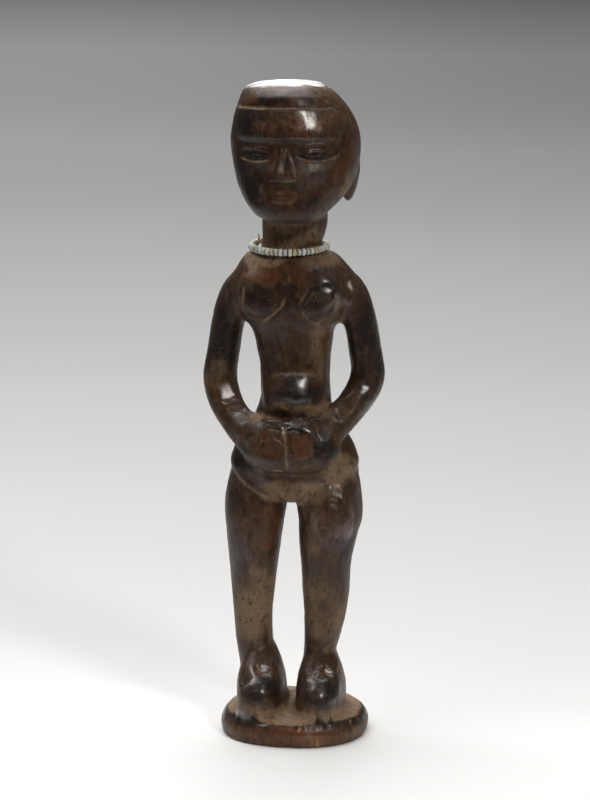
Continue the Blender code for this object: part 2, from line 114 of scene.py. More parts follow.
def copy_object(source: bpy.types.Object, name: str) -> bpy.types.Object:
    """Returns a copy of the object, with a mesh of its own, that rides on nothing yet."""
    copy = bpy.data.objects.new(name, source.data.copy())
    copy.data.name = name
    bpy.context.scene.collection.objects.link(copy)
    return copy


def smooth_step(value: np.ndarray) -> np.ndarray:
    """Returns 0 below 0, 1 above 1, and an even turn between them."""
    held = np.clip(value, 0.0, 1.0)
    return held * held * (3.0 - 2.0 * held)


def smooth_path(points: np.ndarray, spacing: float) -> np.ndarray:
    """Returns points at about this spacing along a smooth curve through the given ones.

    Args:
        points: the points that the curve goes through, as rows.
        spacing: the distance between the points that come back, in the same unit.
    Returns:
        The points along the curve, as rows.
    """
    if len(points) < 3:
        count = max(2, int(np.linalg.norm(points[1] - points[0]) / spacing) + 1)
        share = np.linspace(0.0, 1.0, count)[:, None]
        return points[0] * (1 - share) + points[1] * share
    rows = [2 * points[0] - points[1], *points, 2 * points[-1] - points[-2]]
    found = []
    for before, start, end, after in zip(rows, rows[1:], rows[2:], rows[3:]):
        count = max(2, int(np.linalg.norm(end - start) / spacing) + 1)
        for t in np.linspace(0.0, 1.0, count, endpoint=False):
            found.append(
                0.5
                * (
                    2 * start
                    + (end - before) * t
                    + (2 * before - 5 * start + 4 * end - after) * t**2
                    + (3 * start - before - 3 * end + after) * t**3
                )
            )
    found.append(points[-1])
    return np.array(found)


# ---------------------------------------------------------------- node sheets


class NodeSheet:
    """Short calls for making shader nodes in one tree."""

    def __init__(self, tree: bpy.types.NodeTree) -> None:
        self.tree = tree

    def add(self, kind: str, **settings: object) -> bpy.types.Node:
        """Adds a node of this kind with these properties."""
        node = self.tree.nodes.new(kind)
        for name, value in settings.items():
            setattr(node, name, value)
        return node

    def feed(self, socket: bpy.types.NodeSocket, value: object) -> None:
        """Gives an input either a link or a constant."""
        if isinstance(value, bpy.types.NodeSocket):
            self.tree.links.new(value, socket)
        else:
            socket.default_value = value

    def math(
        self, operation: str, *values: object, clamp: bool = False
    ) -> bpy.types.NodeSocket:
        """Returns the result of a Math node."""
        node = self.add("ShaderNodeMath", operation=operation, use_clamp=clamp)
        for socket, value in zip(node.inputs, values):
            self.feed(socket, value)
        return node.outputs[0]

    def mix(self, share: object, first: object, second: object) -> bpy.types.NodeSocket:
        """Returns a colour that goes from the first to the second as share goes from 0 to 1."""
        node = self.add("ShaderNodeMix", data_type="RGBA")
        self.feed(node.inputs["Factor"], share)
        for socket, value in zip((node.inputs[6], node.inputs[7]), (first, second)):
            self.feed(socket, (*value, 1.0) if isinstance(value, tuple) else value)
        return node.outputs[2]

    def span(
        self, value: object, low: float, high: float, to: Point2 = (0.0, 1.0)
    ) -> bpy.types.NodeSocket:
        """Returns value turned smoothly from the range low to high into the range to."""
        node = self.add("ShaderNodeMapRange", interpolation_type="SMOOTHSTEP")
        for name, number in zip(("From Min", "From Max", "To Min", "To Max"), (low, high, *to)):
            node.inputs[name].default_value = number
        self.feed(node.inputs["Value"], value)
        return node.outputs["Result"]

    def place(
        self, stretch: Point3 = (1.0, 1.0, 1.0), turn: Point3 = (0.0, 0.0, 0.0)
    ) -> bpy.types.NodeSocket:
        """Returns the piece's own coordinates, stretched and turned."""
        where = self.add("ShaderNodeTexCoord").outputs["Object"]
        mapping = self.add("ShaderNodeMapping")
        mapping.inputs["Scale"].default_value = stretch
        mapping.inputs["Rotation"].default_value = turn
        self.feed(mapping.inputs["Vector"], where)
        return mapping.outputs["Vector"]

    def noise(
        self, place: object, scale: float, detail: float = 3.0, rough: float = 0.55
    ) -> bpy.types.NodeSocket:
        """Returns the value of a Noise node, about 0 to 1."""
        node = self.add("ShaderNodeTexNoise")
        self.feed(node.inputs["Vector"], place)
        node.inputs["Scale"].default_value = scale
        node.inputs["Detail"].default_value = detail
        node.inputs["Roughness"].default_value = rough
        return node.outputs["Fac"]

    def even_grey(self, level: object) -> bpy.types.NodeSocket:
        """Returns a grey of this level as a colour."""
        node = self.add("ShaderNodeCombineColor")
        for socket in node.inputs[:3]:
            self.feed(socket, level)
        return node.outputs[0]

    def ramp(self, value: object, levels: tuple[Point2, ...]) -> bpy.types.NodeSocket:
        """Returns a grey that goes through these levels.

        Args:
            value: where to read the ramp, in the unit of the levels' places.
            levels: each place and the grey there, from 0 up.
        """
        reach = levels[-1][0]
        node = self.add("ShaderNodeValToRGB")
        self.feed(node.inputs[0], self.math("DIVIDE", value, reach, clamp=True))
        stops = node.color_ramp.elements
        while len(stops) < len(levels):
            stops.new(0.5)
        for stop, (place, level) in zip(stops, levels):
            stop.position = place / reach
            stop.color = (level, level, level, 1.0)
        return node.outputs[0]

    def attribute(self, name: str) -> bpy.types.NodeSocket:
        """Returns the value of one of the mesh's own attributes."""
        return self.add("ShaderNodeAttribute", attribute_name=name).outputs["Fac"]


def new_group(name: str, outputs: tuple[str, ...]) -> tuple[NodeSheet, dict[str, bpy.types.NodeSocket]]:
    """Makes an empty node group that gives values.

    Args:
        name: the group's name.
        outputs: the name of each value.
    Returns:
        The group's sheet, and the sockets that its results go to.
    """
    tree = bpy.data.node_groups.new(name, "ShaderNodeTree")
    for label in outputs:
        tree.interface.new_socket(label, in_out="OUTPUT", socket_type="NodeSocketFloat")
    sheet = NodeSheet(tree)
    result = sheet.add("NodeGroupOutput")
    return sheet, {label: result.inputs[label] for label in outputs}


def use_group(sheet: NodeSheet, tree: bpy.types.NodeTree) -> bpy.types.Node:
    """Adds a node group to a material's sheet."""
    return sheet.add("ShaderNodeGroup", node_tree=tree)


# ---------------------------------------------------------------- finishes


@dataclass(frozen=True)
class PatinatedWood:
    """Dark carved wood, polished by handling where it stands proud and dusty where it lies deep."""

    name: str = "patinated_wood"
    # black is also the colour of the painted shade carried by black_and_shade.
    black: Colour = (0.007, 0.0042, 0.003)
    brown: Colour = (0.052, 0.0245, 0.0115)
    red: Colour = (0.095, 0.033, 0.012)
    dust: Colour = (0.23, 0.148, 0.085)
    # grey is also the colour of the painted sheen carried by grey_and_sheen.
    grey: Colour = (0.082, 0.064, 0.05)
    bare: Colour = (0.36, 0.16, 0.055)
    amber: Colour = (0.1, 0.047, 0.017)
    olive: Colour = (0.07, 0.055, 0.036)
    waxed: float = 0.4
    polished: float = 0.28
    lacquered: float = 0.25
    matt: float = 0.66

    def grain_group(self) -> bpy.types.NodeTree:
        """Returns the group that gives the long grain, the mottling and the pits of the wood."""
        sheet, out = new_group("wood_grain", ("Grain", "Mottle", "Speck", "Pits", "Tone"))
        along = sheet.place((1.0, 1.0, 0.09))
        sheet.feed(out["Grain"], sheet.noise(along, 900.0, 4.0, 0.65))
        body = sheet.place((1.0, 1.0, 0.55))
        sheet.feed(out["Mottle"], sheet.noise(body, 95.0, 5.0, 0.6))
        sheet.feed(out["Speck"], sheet.noise(sheet.place((1.0, 1.0, 0.7)), 430.0, 4.0, 0.66))
        sheet.feed(out["Tone"], sheet.noise(sheet.place((1.0, 1.0, 0.6), (0.3, 0.7, 0.0)), 210.0, 5.0, 0.7))
        pores = sheet.noise(sheet.place((1.0, 1.0, 0.35)), 1500.0, 2.0, 0.5)
        where = sheet.noise(sheet.place(), 160.0, 2.0, 0.5)
        spots = sheet.span(pores, 0.62, 0.72)
        sheet.feed(out["Pits"], sheet.math("MULTIPLY", spots, sheet.span(where, 0.42, 0.6)))
        return sheet.tree

    def scratch_group(self) -> bpy.types.NodeTree:
        """Returns the group that gives short scratches, which run two ways and come in patches."""
        sheet, out = new_group("scratches", ("Scratches",))
        marks = []
        for turn, low in ((0.9, 0.63), (-0.55, 0.66)):
            place = sheet.place((0.07, 1.0, 1.0), (0.0, turn, 0.0))
            fine = sheet.noise(place, 2100.0, 1.0, 0.4)
            patch = sheet.noise(sheet.place(turn=(turn, 0.0, 1.0)), 70.0, 2.0, 0.5)
            line = sheet.span(fine, low, low + 0.06)
            marks.append(sheet.math("MULTIPLY", line, sheet.span(patch, 0.5, 0.66)))
        sheet.feed(out["Scratches"], sheet.math("MAXIMUM", *marks))
        return sheet.tree

    def material(self) -> bpy.types.Material:
        """Returns the wood as a material that reads the carving's own attributes."""
        material = bpy.data.materials.new(self.name)
        material.use_nodes = True
        sheet = NodeSheet(material.node_tree)
        shader = material.node_tree.nodes["Principled BSDF"]
        grain_node = use_group(sheet, self.grain_group())
        grain, mottle, speck, pits, tone = grain_node.outputs
        scratches = use_group(sheet, self.scratch_group()).outputs["Scratches"]
        hollow, crest = sheet.attribute("hollow"), sheet.attribute("crest")
        dusty, reddish = sheet.attribute("dusty"), sheet.attribute("reddish")
        # black_and_shade is black patina, and painted shade on the eye slits and the left side of the face.
        # grey_and_sheen is grey wear, and a painted sheen on the upper left chest and the tops of the feet.
        black_and_shade, grey_and_sheen = sheet.attribute("black_and_shade"), sheet.attribute("grey_and_sheen")
        broken = sheet.math("MULTIPLY", sheet.math("SUBTRACT", mottle, 0.5), 3.2)
        # Black patina and painted shade: the colour goes to black where this share is high.
        black_and_shade_share = sheet.span(sheet.math("ADD", broken, black_and_shade), 0.0, 0.85, (0.0, 0.9))
        colour = sheet.mix(sheet.span(tone, 0.52, 0.68), self.brown, self.amber)
        colour = sheet.mix(sheet.span(tone, 0.47, 0.34), colour, self.olive)
        colour = sheet.mix(black_and_shade_share, colour, self.black)
        glow = sheet.span(sheet.math("ADD", broken, reddish), 0.25, 1.0)
        colour = sheet.mix(glow, colour, self.red)
        # Grey wear and painted sheen: the colour goes grey where this share is high.
        grey_and_sheen_share = sheet.span(sheet.math("ADD", broken, grey_and_sheen), 0.35, 1.1, (0.0, 0.65))
        colour = sheet.mix(grey_and_sheen_share, colour, self.grey)
        powder = sheet.math("MULTIPLY_ADD", hollow, 0.7, dusty)
        powder = sheet.math("MULTIPLY_ADD", broken, 0.55, powder)
        powder = sheet.span(powder, 0.15, 1.05, (0.0, 0.85))
        colour = sheet.mix(powder, colour, self.dust)
        worn = sheet.span(speck, 0.54, 0.7, (0.0, 0.4))
        worn = sheet.math("MULTIPLY", worn, sheet.span(powder, 0.0, 0.6, (0.35, 1.0)))
        colour = sheet.mix(worn, colour, self.dust)
        colour = sheet.mix(sheet.span(speck, 0.47, 0.34, (0.0, 0.6)), colour, self.black)
        streak = sheet.span(grain, 0.3, 0.7, (0.9, 1.12))
        tint = sheet.add("ShaderNodeMix", data_type="RGBA", blend_type="MULTIPLY")
        sheet.feed(tint.inputs["Factor"], 1.0)
        sheet.feed(tint.inputs[6], colour)
        sheet.feed(tint.inputs[7], sheet.even_grey(streak))
        rubbed = sheet.math("MULTIPLY_ADD", crest, 0.45, sheet.attribute("rubbed"))
        rubbed = sheet.span(sheet.math("MULTIPLY_ADD", broken, 0.5, rubbed), 0.5, 1.0, (0.0, 0.8))
        colour = sheet.mix(rubbed, tint.outputs[2], self.bare)
        colour = sheet.mix(sheet.math("MULTIPLY", scratches, 0.3), colour, self.dust)
        colour = sheet.mix(sheet.math("MULTIPLY", pits, 0.8), colour, self.black)
        sheet.feed(shader.inputs["Base Color"], colour)
        shine = sheet.math("MULTIPLY_ADD", broken, 0.35, sheet.attribute("polish"))
        base = sheet.span(shine, 0.15, 0.85, (self.waxed, self.polished))
        rough = sheet.math("MULTIPLY_ADD", powder, self.matt - self.waxed, base)
        rough = sheet.math("MULTIPLY_ADD", grey_and_sheen_share, 0.12, rough)
        rough = sheet.math("ADD", rough, sheet.span(mottle, 0.45, 0.7, (0.0, 0.12)))
        rough = sheet.math("ADD", rough, sheet.span(speck, 0.45, 0.65, (0.0, 0.1)))
        rough = sheet.math("ADD", rough, sheet.math("MULTIPLY", scratches, 0.15), clamp=True)
        sheet.feed(shader.inputs["Roughness"], rough)
        relief = sheet.math("MULTIPLY", grain, 0.2)
        relief = sheet.math("MULTIPLY_ADD", speck, 1.0, relief)
        relief = sheet.math("MULTIPLY_ADD", pits, -0.9, relief)
        relief = sheet.math("MULTIPLY_ADD", scratches, -0.5, relief)
        relief = sheet.math("MULTIPLY_ADD", mottle, 0.6, relief)
        bump = sheet.add("ShaderNodeBump")
        bump.inputs["Strength"].default_value = 0.5
        bump.inputs["Distance"].default_value = 0.0003
        sheet.feed(bump.inputs["Height"], relief)
        sheet.feed(shader.inputs["Normal"], bump.outputs["Normal"])
        shader.inputs["Specular IOR Level"].default_value = 0.28
        gloss = sheet.math("MULTIPLY_ADD", sheet.span(speck, 0.36, 0.52), 0.55, 0.45)
        gloss = sheet.math("MULTIPLY", gloss, sheet.span(shine, 0.1, 0.8, (0.06, 1.0)))
        clean = sheet.math("SUBTRACT", 1.0, sheet.math("MULTIPLY", powder, 0.8))
        gloss = sheet.math("MULTIPLY", gloss, clean)
        gloss = sheet.math("MULTIPLY", gloss, sheet.math("SUBTRACT", 1.0, pits), clamp=True)
        sheet.feed(shader.inputs["Coat Weight"], gloss)
        shader.inputs["Coat Roughness"].default_value = self.lacquered
        shader.inputs["Coat IOR"].default_value = 1.5
        return material


@dataclass(frozen=True)
class SeedBeadGlass:
    """Opaque seed bead glass, slightly soiled towards the holes."""

    name: str
    tint: Colour
    roughness: float = 0.22

    def material(self) -> bpy.types.Material:
        """Returns the glass as a material."""
        material = bpy.data.materials.new(self.name)
        material.use_nodes = True
        sheet = NodeSheet(material.node_tree)
        shader = material.node_tree.nodes["Principled BSDF"]
        stain = sheet.noise(sheet.place(), 900.0, 3.0, 0.6)
        soil = sheet.span(stain, 0.45, 0.75, (0.0, 0.45))
        dirty = tuple(channel * share for channel, share in zip(self.tint, (0.55, 0.45, 0.3)))
        grime = sheet.math("MAXIMUM", soil, sheet.attribute("grime"))
        sheet.feed(shader.inputs["Base Color"], sheet.mix(grime, self.tint, dirty))
        shader.inputs["Roughness"].default_value = self.roughness
        shader.inputs["Subsurface Weight"].default_value = 0.25
        shader.inputs["Subsurface Radius"].default_value = (0.001, 0.001, 0.0008)
        shader.inputs["Subsurface Scale"].default_value = 0.6
        return material


@dataclass(frozen=True)
class ThreadFibre:
    """Twisted plant fibre, yellowed."""

    name: str = "yellowed_fibre"
    tint: Colour = (0.95, 0.6, 0.22)
    shade: Colour = (0.6, 0.33, 0.1)

    def material(self) -> bpy.types.Material:
        """Returns the fibre as a material."""
        material = bpy.data.materials.new(self.name)
        material.use_nodes = True
        sheet = NodeSheet(material.node_tree)
        shader = material.node_tree.nodes["Principled BSDF"]
        twist = sheet.noise(sheet.place(), 4000.0, 2.0, 0.5)
        sheet.feed(shader.inputs["Base Color"], sheet.mix(sheet.span(twist, 0.3, 0.7), self.shade, self.tint))
        shader.inputs["Roughness"].default_value = 0.75
        return material


# ---------------------------------------------------------------- carving tools


class View(Enum):
    """The side from which a stroke is drawn: the direction in which its line is laid on the wood."""

    FRONT = (0.0, 1.0, 0.0)
    BACK = (0.0, -1.0, 0.0)
    ABOVE = (0.0, 0.0, -1.0)


class Profile(Enum):
    """The cross-section that a stroke leaves."""

    GROOVE = "a V cut"
    HOLLOW = "a rounded trough"
    SWELL = "a rounded ridge"
    LEDGE = "the wood drops away on the stroke's left"


@dataclass(frozen=True)
class Stroke:
    """One stroke of the carver's blade, in millimetres.

    The path is (x, z) from the front and back, and (x, y) from above. Dust is how much dust the stroke holds,
    and fade is how far past its width a ledge runs out.
    """

    name: str
    path: tuple[Point2, ...]
    width: float
    depth: float
    profile: Profile = Profile.GROOVE
    view: View = View.FRONT
    dust: float = 0.0
    fade: float = 0.0


@dataclass(frozen=True)
class Flat:
    """One flat cut of the blade, in millimetres.

    The place is (x, z), laid on the front of the wood. The cut faces between the wood's own normal there and
    the one given here, which it follows by the share.
    """

    name: str
    place: Point2
    normal: Point3
    depth: float
    reach: float
    share: float = 0.4


@dataclass(frozen=True)
class Patch:
    """A soft-edged area of the skin, in millimetres, and how much of a mark it gets."""

    centre: Point3
    reach: Point3
    amount: float


class Skin:
    """The carving's surface as arrays in millimetres, and what can be done to it."""

    # black_and_shade holds black patina and painted shade; grey_and_sheen holds grey wear and a painted
    # sheen.
    MARKS = ("hollow", "crest", "dusty", "reddish", "black_and_shade", "grey_and_sheen", "rubbed", "polish")

    def __init__(self, obj: bpy.types.Object) -> None:
        self.obj = obj
        self.mesh = obj.data
        count = len(self.mesh.vertices)
        flat = np.empty(count * 3, np.float32)
        self.mesh.vertices.foreach_get("co", flat)
        self.points = flat.reshape(-1, 3).astype(float) / MM
        ends = np.empty(len(self.mesh.edges) * 2, np.int32)
        self.mesh.edges.foreach_get("vertices", ends)
        self.edges = ends.reshape(-1, 2)
        both = np.concatenate([self.edges[:, 0], self.edges[:, 1]])
        self.degree = np.bincount(both, minlength=count).astype(float)
        self.marks = {name: np.zeros(count) for name in self.MARKS}
        self.wander = np.array([noise.noise_vector(Vector(p / 7.0)) for p in self.points]) * 3.2
        self.normals = self.read_normals()

    def read_normals(self) -> np.ndarray:
        """Writes the points to the mesh and returns the normals that they give."""
        self.mesh.vertices.foreach_set("co", (self.points * MM).astype(np.float32).ravel())
        self.mesh.update()
        flat = np.empty(len(self.points) * 3, np.float32)
        self.mesh.vertices.foreach_get("normal", flat)
        return flat.reshape(-1, 3).astype(float)

    def refresh(self) -> None:
        """Reads the normals again after the points have moved."""
        self.normals = self.read_normals()

    def averaged(self, values: np.ndarray) -> np.ndarray:
        """Returns each vertex's mean over its neighbours."""
        first, second = self.edges[:, 0], self.edges[:, 1]
        columns = values.reshape(len(values), -1)
        total = np.empty_like(columns)
        for axis in range(columns.shape[1]):
            column = columns[:, axis]
            total[:, axis] = np.bincount(first, column[second], len(values))
            total[:, axis] += np.bincount(second, column[first], len(values))
        return (total / self.degree[:, None]).reshape(values.shape)

    def relax(self, rounds: int, weight: np.ndarray | float = 1.0) -> None:
        """Evens the surface out.

        Args:
            rounds: how many times each vertex moves half-way to its neighbours' mean.
            weight: a share for each vertex, 0 where it stays.
        """
        share = 0.5 * np.broadcast_to(weight, (len(self.points),))[:, None]
        for _ in range(rounds):
            self.points += (self.averaged(self.points) - self.points) * share
        self.refresh()

    def weight(self, patch: Patch) -> np.ndarray:
        """Returns the patch's share at each vertex, from 0 to 1, with a soft edge."""
        away = (self.points - np.array(patch.centre)) / np.array(patch.reach)
        return smooth_step((1.0 - np.linalg.norm(away, axis=1)) * 2.0)

    def paint(self, mark: str, patches: tuple[Patch, ...], stray: float = 1.0) -> None:
        """Adds these patches to a mark, with edges that wander by this share."""
        for patch in patches:
            away = (self.points + self.wander * stray - np.array(patch.centre)) / np.array(patch.reach)
            share = smooth_step((1.0 - np.linalg.norm(away, axis=1)) * 1.6)
            self.marks[mark] = np.maximum(self.marks[mark], share * patch.amount)

    def tree(self) -> BVHTree:
        """Returns the surface as it is now, ready to be hit by rays."""
        return BVHTree.FromPolygons(
            [Vector(p) for p in self.points], [tuple(p.vertices) for p in self.mesh.polygons]
        )

    @staticmethod
    def hit(tree: BVHTree, view: View, a: float, b: float) -> tuple[Vector | None, Vector | None]:
        """Returns the first place on the wood seen from this side at (a, b), and the normal there."""
        axis = Vector(view.value)
        if view is View.ABOVE:
            start = Vector((a, b, BASE_CLEAR))
        else:
            start = Vector((a, 0.0, b)) - axis * FAR_OFF
        place, normal, _, _ = tree.ray_cast(start, axis, 2 * FAR_OFF)
        return place, normal

    def laid(self, stroke: Stroke, tree: BVHTree) -> np.ndarray:
        """Returns the stroke's path laid on the wood, with the normal at each point."""
        found = []
        for a, b in smooth_path(np.array(stroke.path, float), STROKE_STEP):
            place, normal = self.hit(tree, stroke.view, a, b)
            if place is not None:
                found.append((*place, *normal))
        return np.array(found)

    def pare(self, flats: tuple[Flat, ...]) -> None:
        """Cuts the flats, each a true plane with crisp edges."""
        tree = self.tree()
        for flat in flats:
            place, own = self.hit(tree, View.FRONT, *flat.place)
            if place is None:
                LOG.warning("flat %s misses the wood", flat.name)
                continue
            facing = np.array(own.lerp(Vector(flat.normal).normalized(), flat.share).normalized())
            away = self.points - np.array(place)
            height = away @ facing + flat.depth
            beside = away - np.outer(away @ facing, facing)
            near = np.linalg.norm(beside, axis=1) / flat.reach
            share = smooth_step((1.0 - near) * 4.0) * (np.linalg.norm(away, axis=1) < flat.reach * 1.2)
            share *= (self.normals @ facing > 0.35) * (height < flat.depth + 3.0)
            self.points -= facing * (np.maximum(height, 0.0) * share)[:, None]
        self.refresh()

    def cut(self, strokes: tuple[Stroke, ...]) -> None:
        """Carves the strokes, each on the surface as it was before them."""
        tree = self.tree()
        move = np.zeros(len(self.points))
        for stroke in strokes:
            line = self.laid(stroke, tree)
            if len(line) < 2:
                LOG.warning("stroke %s misses the wood", stroke.name)
                continue
            self.cut_one(stroke, line, move)
        self.points += self.normals * move[:, None]
        self.refresh()

    def cut_one(self, stroke: Stroke, line: np.ndarray, move: np.ndarray) -> None:
        """Adds one stroke's depth to move, and its dust to the dusty mark.

        Args:
            stroke: the stroke.
            line: its points and normals on the wood.
            move: how far each vertex goes along its normal, changed in place.
        """
        reach = stroke.width + stroke.fade
        low, high = line[:, :3].min(0) - reach, line[:, :3].max(0) + reach
        near = np.flatnonzero(((self.points > low) & (self.points < high)).all(1))
        if not len(near):
            return
        where = self.points[near]
        best = np.full(len(near), 1e9)
        share = np.zeros(len(near))
        side = np.zeros(len(near))
        total = len(line) - 1
        for index in range(total):
            start, end = line[index, :3], line[index + 1, :3]
            step = end - start
            length = max(step @ step, 1e-9)
            t = np.clip((where - start) @ step / length, 0.0, 1.0)
            gap = where - (start + t[:, None] * step)
            distance = np.linalg.norm(gap, axis=1)
            across = np.cross(line[index, 3:], step)
            closer = distance < best
            best[closer] = distance[closer]
            share[closer] = (index + t[closer]) / total
            side[closer] = np.sign(gap[closer] @ across)
        taper = smooth_step(np.minimum(share, 1.0 - share) * 5.0 + 0.15)
        near_line = np.clip(1.0 - best / stroke.width, 0.0, 1.0)
        if stroke.profile is Profile.GROOVE:
            shape = -near_line
        elif stroke.profile is Profile.HOLLOW:
            shape = -smooth_step(near_line)
        elif stroke.profile is Profile.SWELL:
            shape = smooth_step(near_line)
        else:
            signed = best * side
            edge = smooth_step(signed / stroke.width + 0.5)
            shape = -edge * np.clip(1.0 - best / reach, 0.0, 1.0)
        facing = self.normals[near] @ np.array(stroke.view.value) < 0.25
        move[near] += shape * stroke.depth * taper * facing
        if stroke.dust:
            powder = smooth_step(1.0 - best / (stroke.width * 1.15)) * stroke.dust * taper * facing
            self.marks["dusty"][near] = np.maximum(self.marks["dusty"][near], powder)

    def facet(self, patches: tuple[Patch, ...], spacing: float, strength: float, seed: int) -> None:
        """Leaves flat tool facets in the patches.

        Args:
            patches: where the facets are.
            spacing: the usual width of a facet.
            strength: how flat each one is, from 0 to 1.
            seed: the random seed of their places.
        """
        chance = np.random.default_rng(seed)
        order = chance.permutation(len(self.points))
        taken = KDTree(len(order))
        seeds = []
        cells = set()
        for index in order:
            cell = tuple(np.floor(self.points[index] / (spacing * 0.75)).astype(int))
            if cell in cells:
                continue
            cells.add(cell)
            seeds.append(index)
        for row, index in enumerate(seeds):
            taken.insert(Vector(self.points[index]), row)
        taken.balance()
        soft = self.normals.copy()
        for _ in range(4):
            soft = self.averaged(soft)
        soft /= np.linalg.norm(soft, axis=1)[:, None]
        share = np.zeros(len(self.points))
        for patch in patches:
            share = np.maximum(share, self.weight(patch) * patch.amount)
        active = np.flatnonzero(share > 0.01)
        owner = np.array([taken.find(Vector(self.points[i]))[1] for i in active])
        centres = self.points[np.array(seeds)][owner]
        facing = soft[np.array(seeds)][owner]
        height = ((self.points[active] - centres) * facing).sum(1)
        height = np.clip(height, -1.0, 1.0)
        self.points[active] -= facing * (height * strength * share[active])[:, None]
        self.refresh()

    def roughen(self, amount: float, size: float, seed: float) -> None:
        """Moves the surface in and out by noise.

        Args:
            amount: the most that it moves.
            size: the width of one lump.
            seed: an offset that changes the pattern.
        """
        shift = Vector((seed, -seed, seed * 0.5))
        stretch = np.array([1.0, 1.0, 0.6]) / size
        rows = [noise.noise(Vector(p) + shift) for p in self.points * stretch]
        self.points += self.normals * (np.array(rows) * amount)[:, None]
        self.refresh()

    def measure_relief(self, rounds: int, gain: float) -> None:
        """Fills the hollow and crest marks from how far the surface lies below or above its surroundings.

        Args:
            rounds: how far the surroundings reach.
            gain: the mark for each millimetre.
        """
        level = self.points.copy()
        for _ in range(rounds):
            level += (self.averaged(level) - level) * 0.5
        depth = ((level - self.points) * self.normals).sum(1)
        for _ in range(2):
            depth = self.averaged(depth)
        self.marks["hollow"] = np.maximum(self.marks["hollow"], np.clip(depth * gain, 0.0, 1.0))
        self.marks["crest"] = np.maximum(self.marks["crest"], np.clip(-depth * gain, 0.0, 1.0))

    def store_marks(self) -> None:
        """Writes the marks to the mesh as attributes."""
        for name, values in self.marks.items():
            attribute = self.mesh.attributes.new(name, "FLOAT", "POINT")
            attribute.data.foreach_set("value", values.astype(np.float32))


# ---------------------------------------------------------------- the carving


@dataclass(frozen=True)
class Eye:
    """A narrow closed eye, in millimetres."""

    centre: Point2
    half_length: float = 7.4
    half_height: float = 2.1
    bulge: float = 0.6
    lid_depth: float = 0.5
    slit_depth: float = 0.9
    slant: float = 0.0

    def shape(self, x: np.ndarray, z: np.ndarray) -> np.ndarray:
        """Returns how far the eye stands out at each place, its lid lines and slit included."""
        along = (x - self.centre[0]) / self.half_length
        up = z - self.centre[1] - self.slant * (x - self.centre[0])
        room = self.half_height * np.clip(1.0 - along**2, 0.0, 1.0) ** 0.75
        inside = np.clip(1.0 - np.abs(up) / np.maximum(room, 0.05), 0.0, 1.0)
        ball = np.sqrt(inside) * self.bulge * (np.abs(along) < 1.0)
        lid_gap = np.abs(np.abs(up) - room) / 0.7
        lid = -np.clip(1.0 - lid_gap, 0.0, 1.0) * self.lid_depth * (np.abs(along) < 1.05)
        slit_gap = np.abs(up + 0.1) / 0.6
        slit = -np.clip(1.0 - slit_gap, 0.0, 1.0) * self.slit_depth * smooth_step((1.0 - np.abs(along)) * 4.0)
        return ball + lid + slit


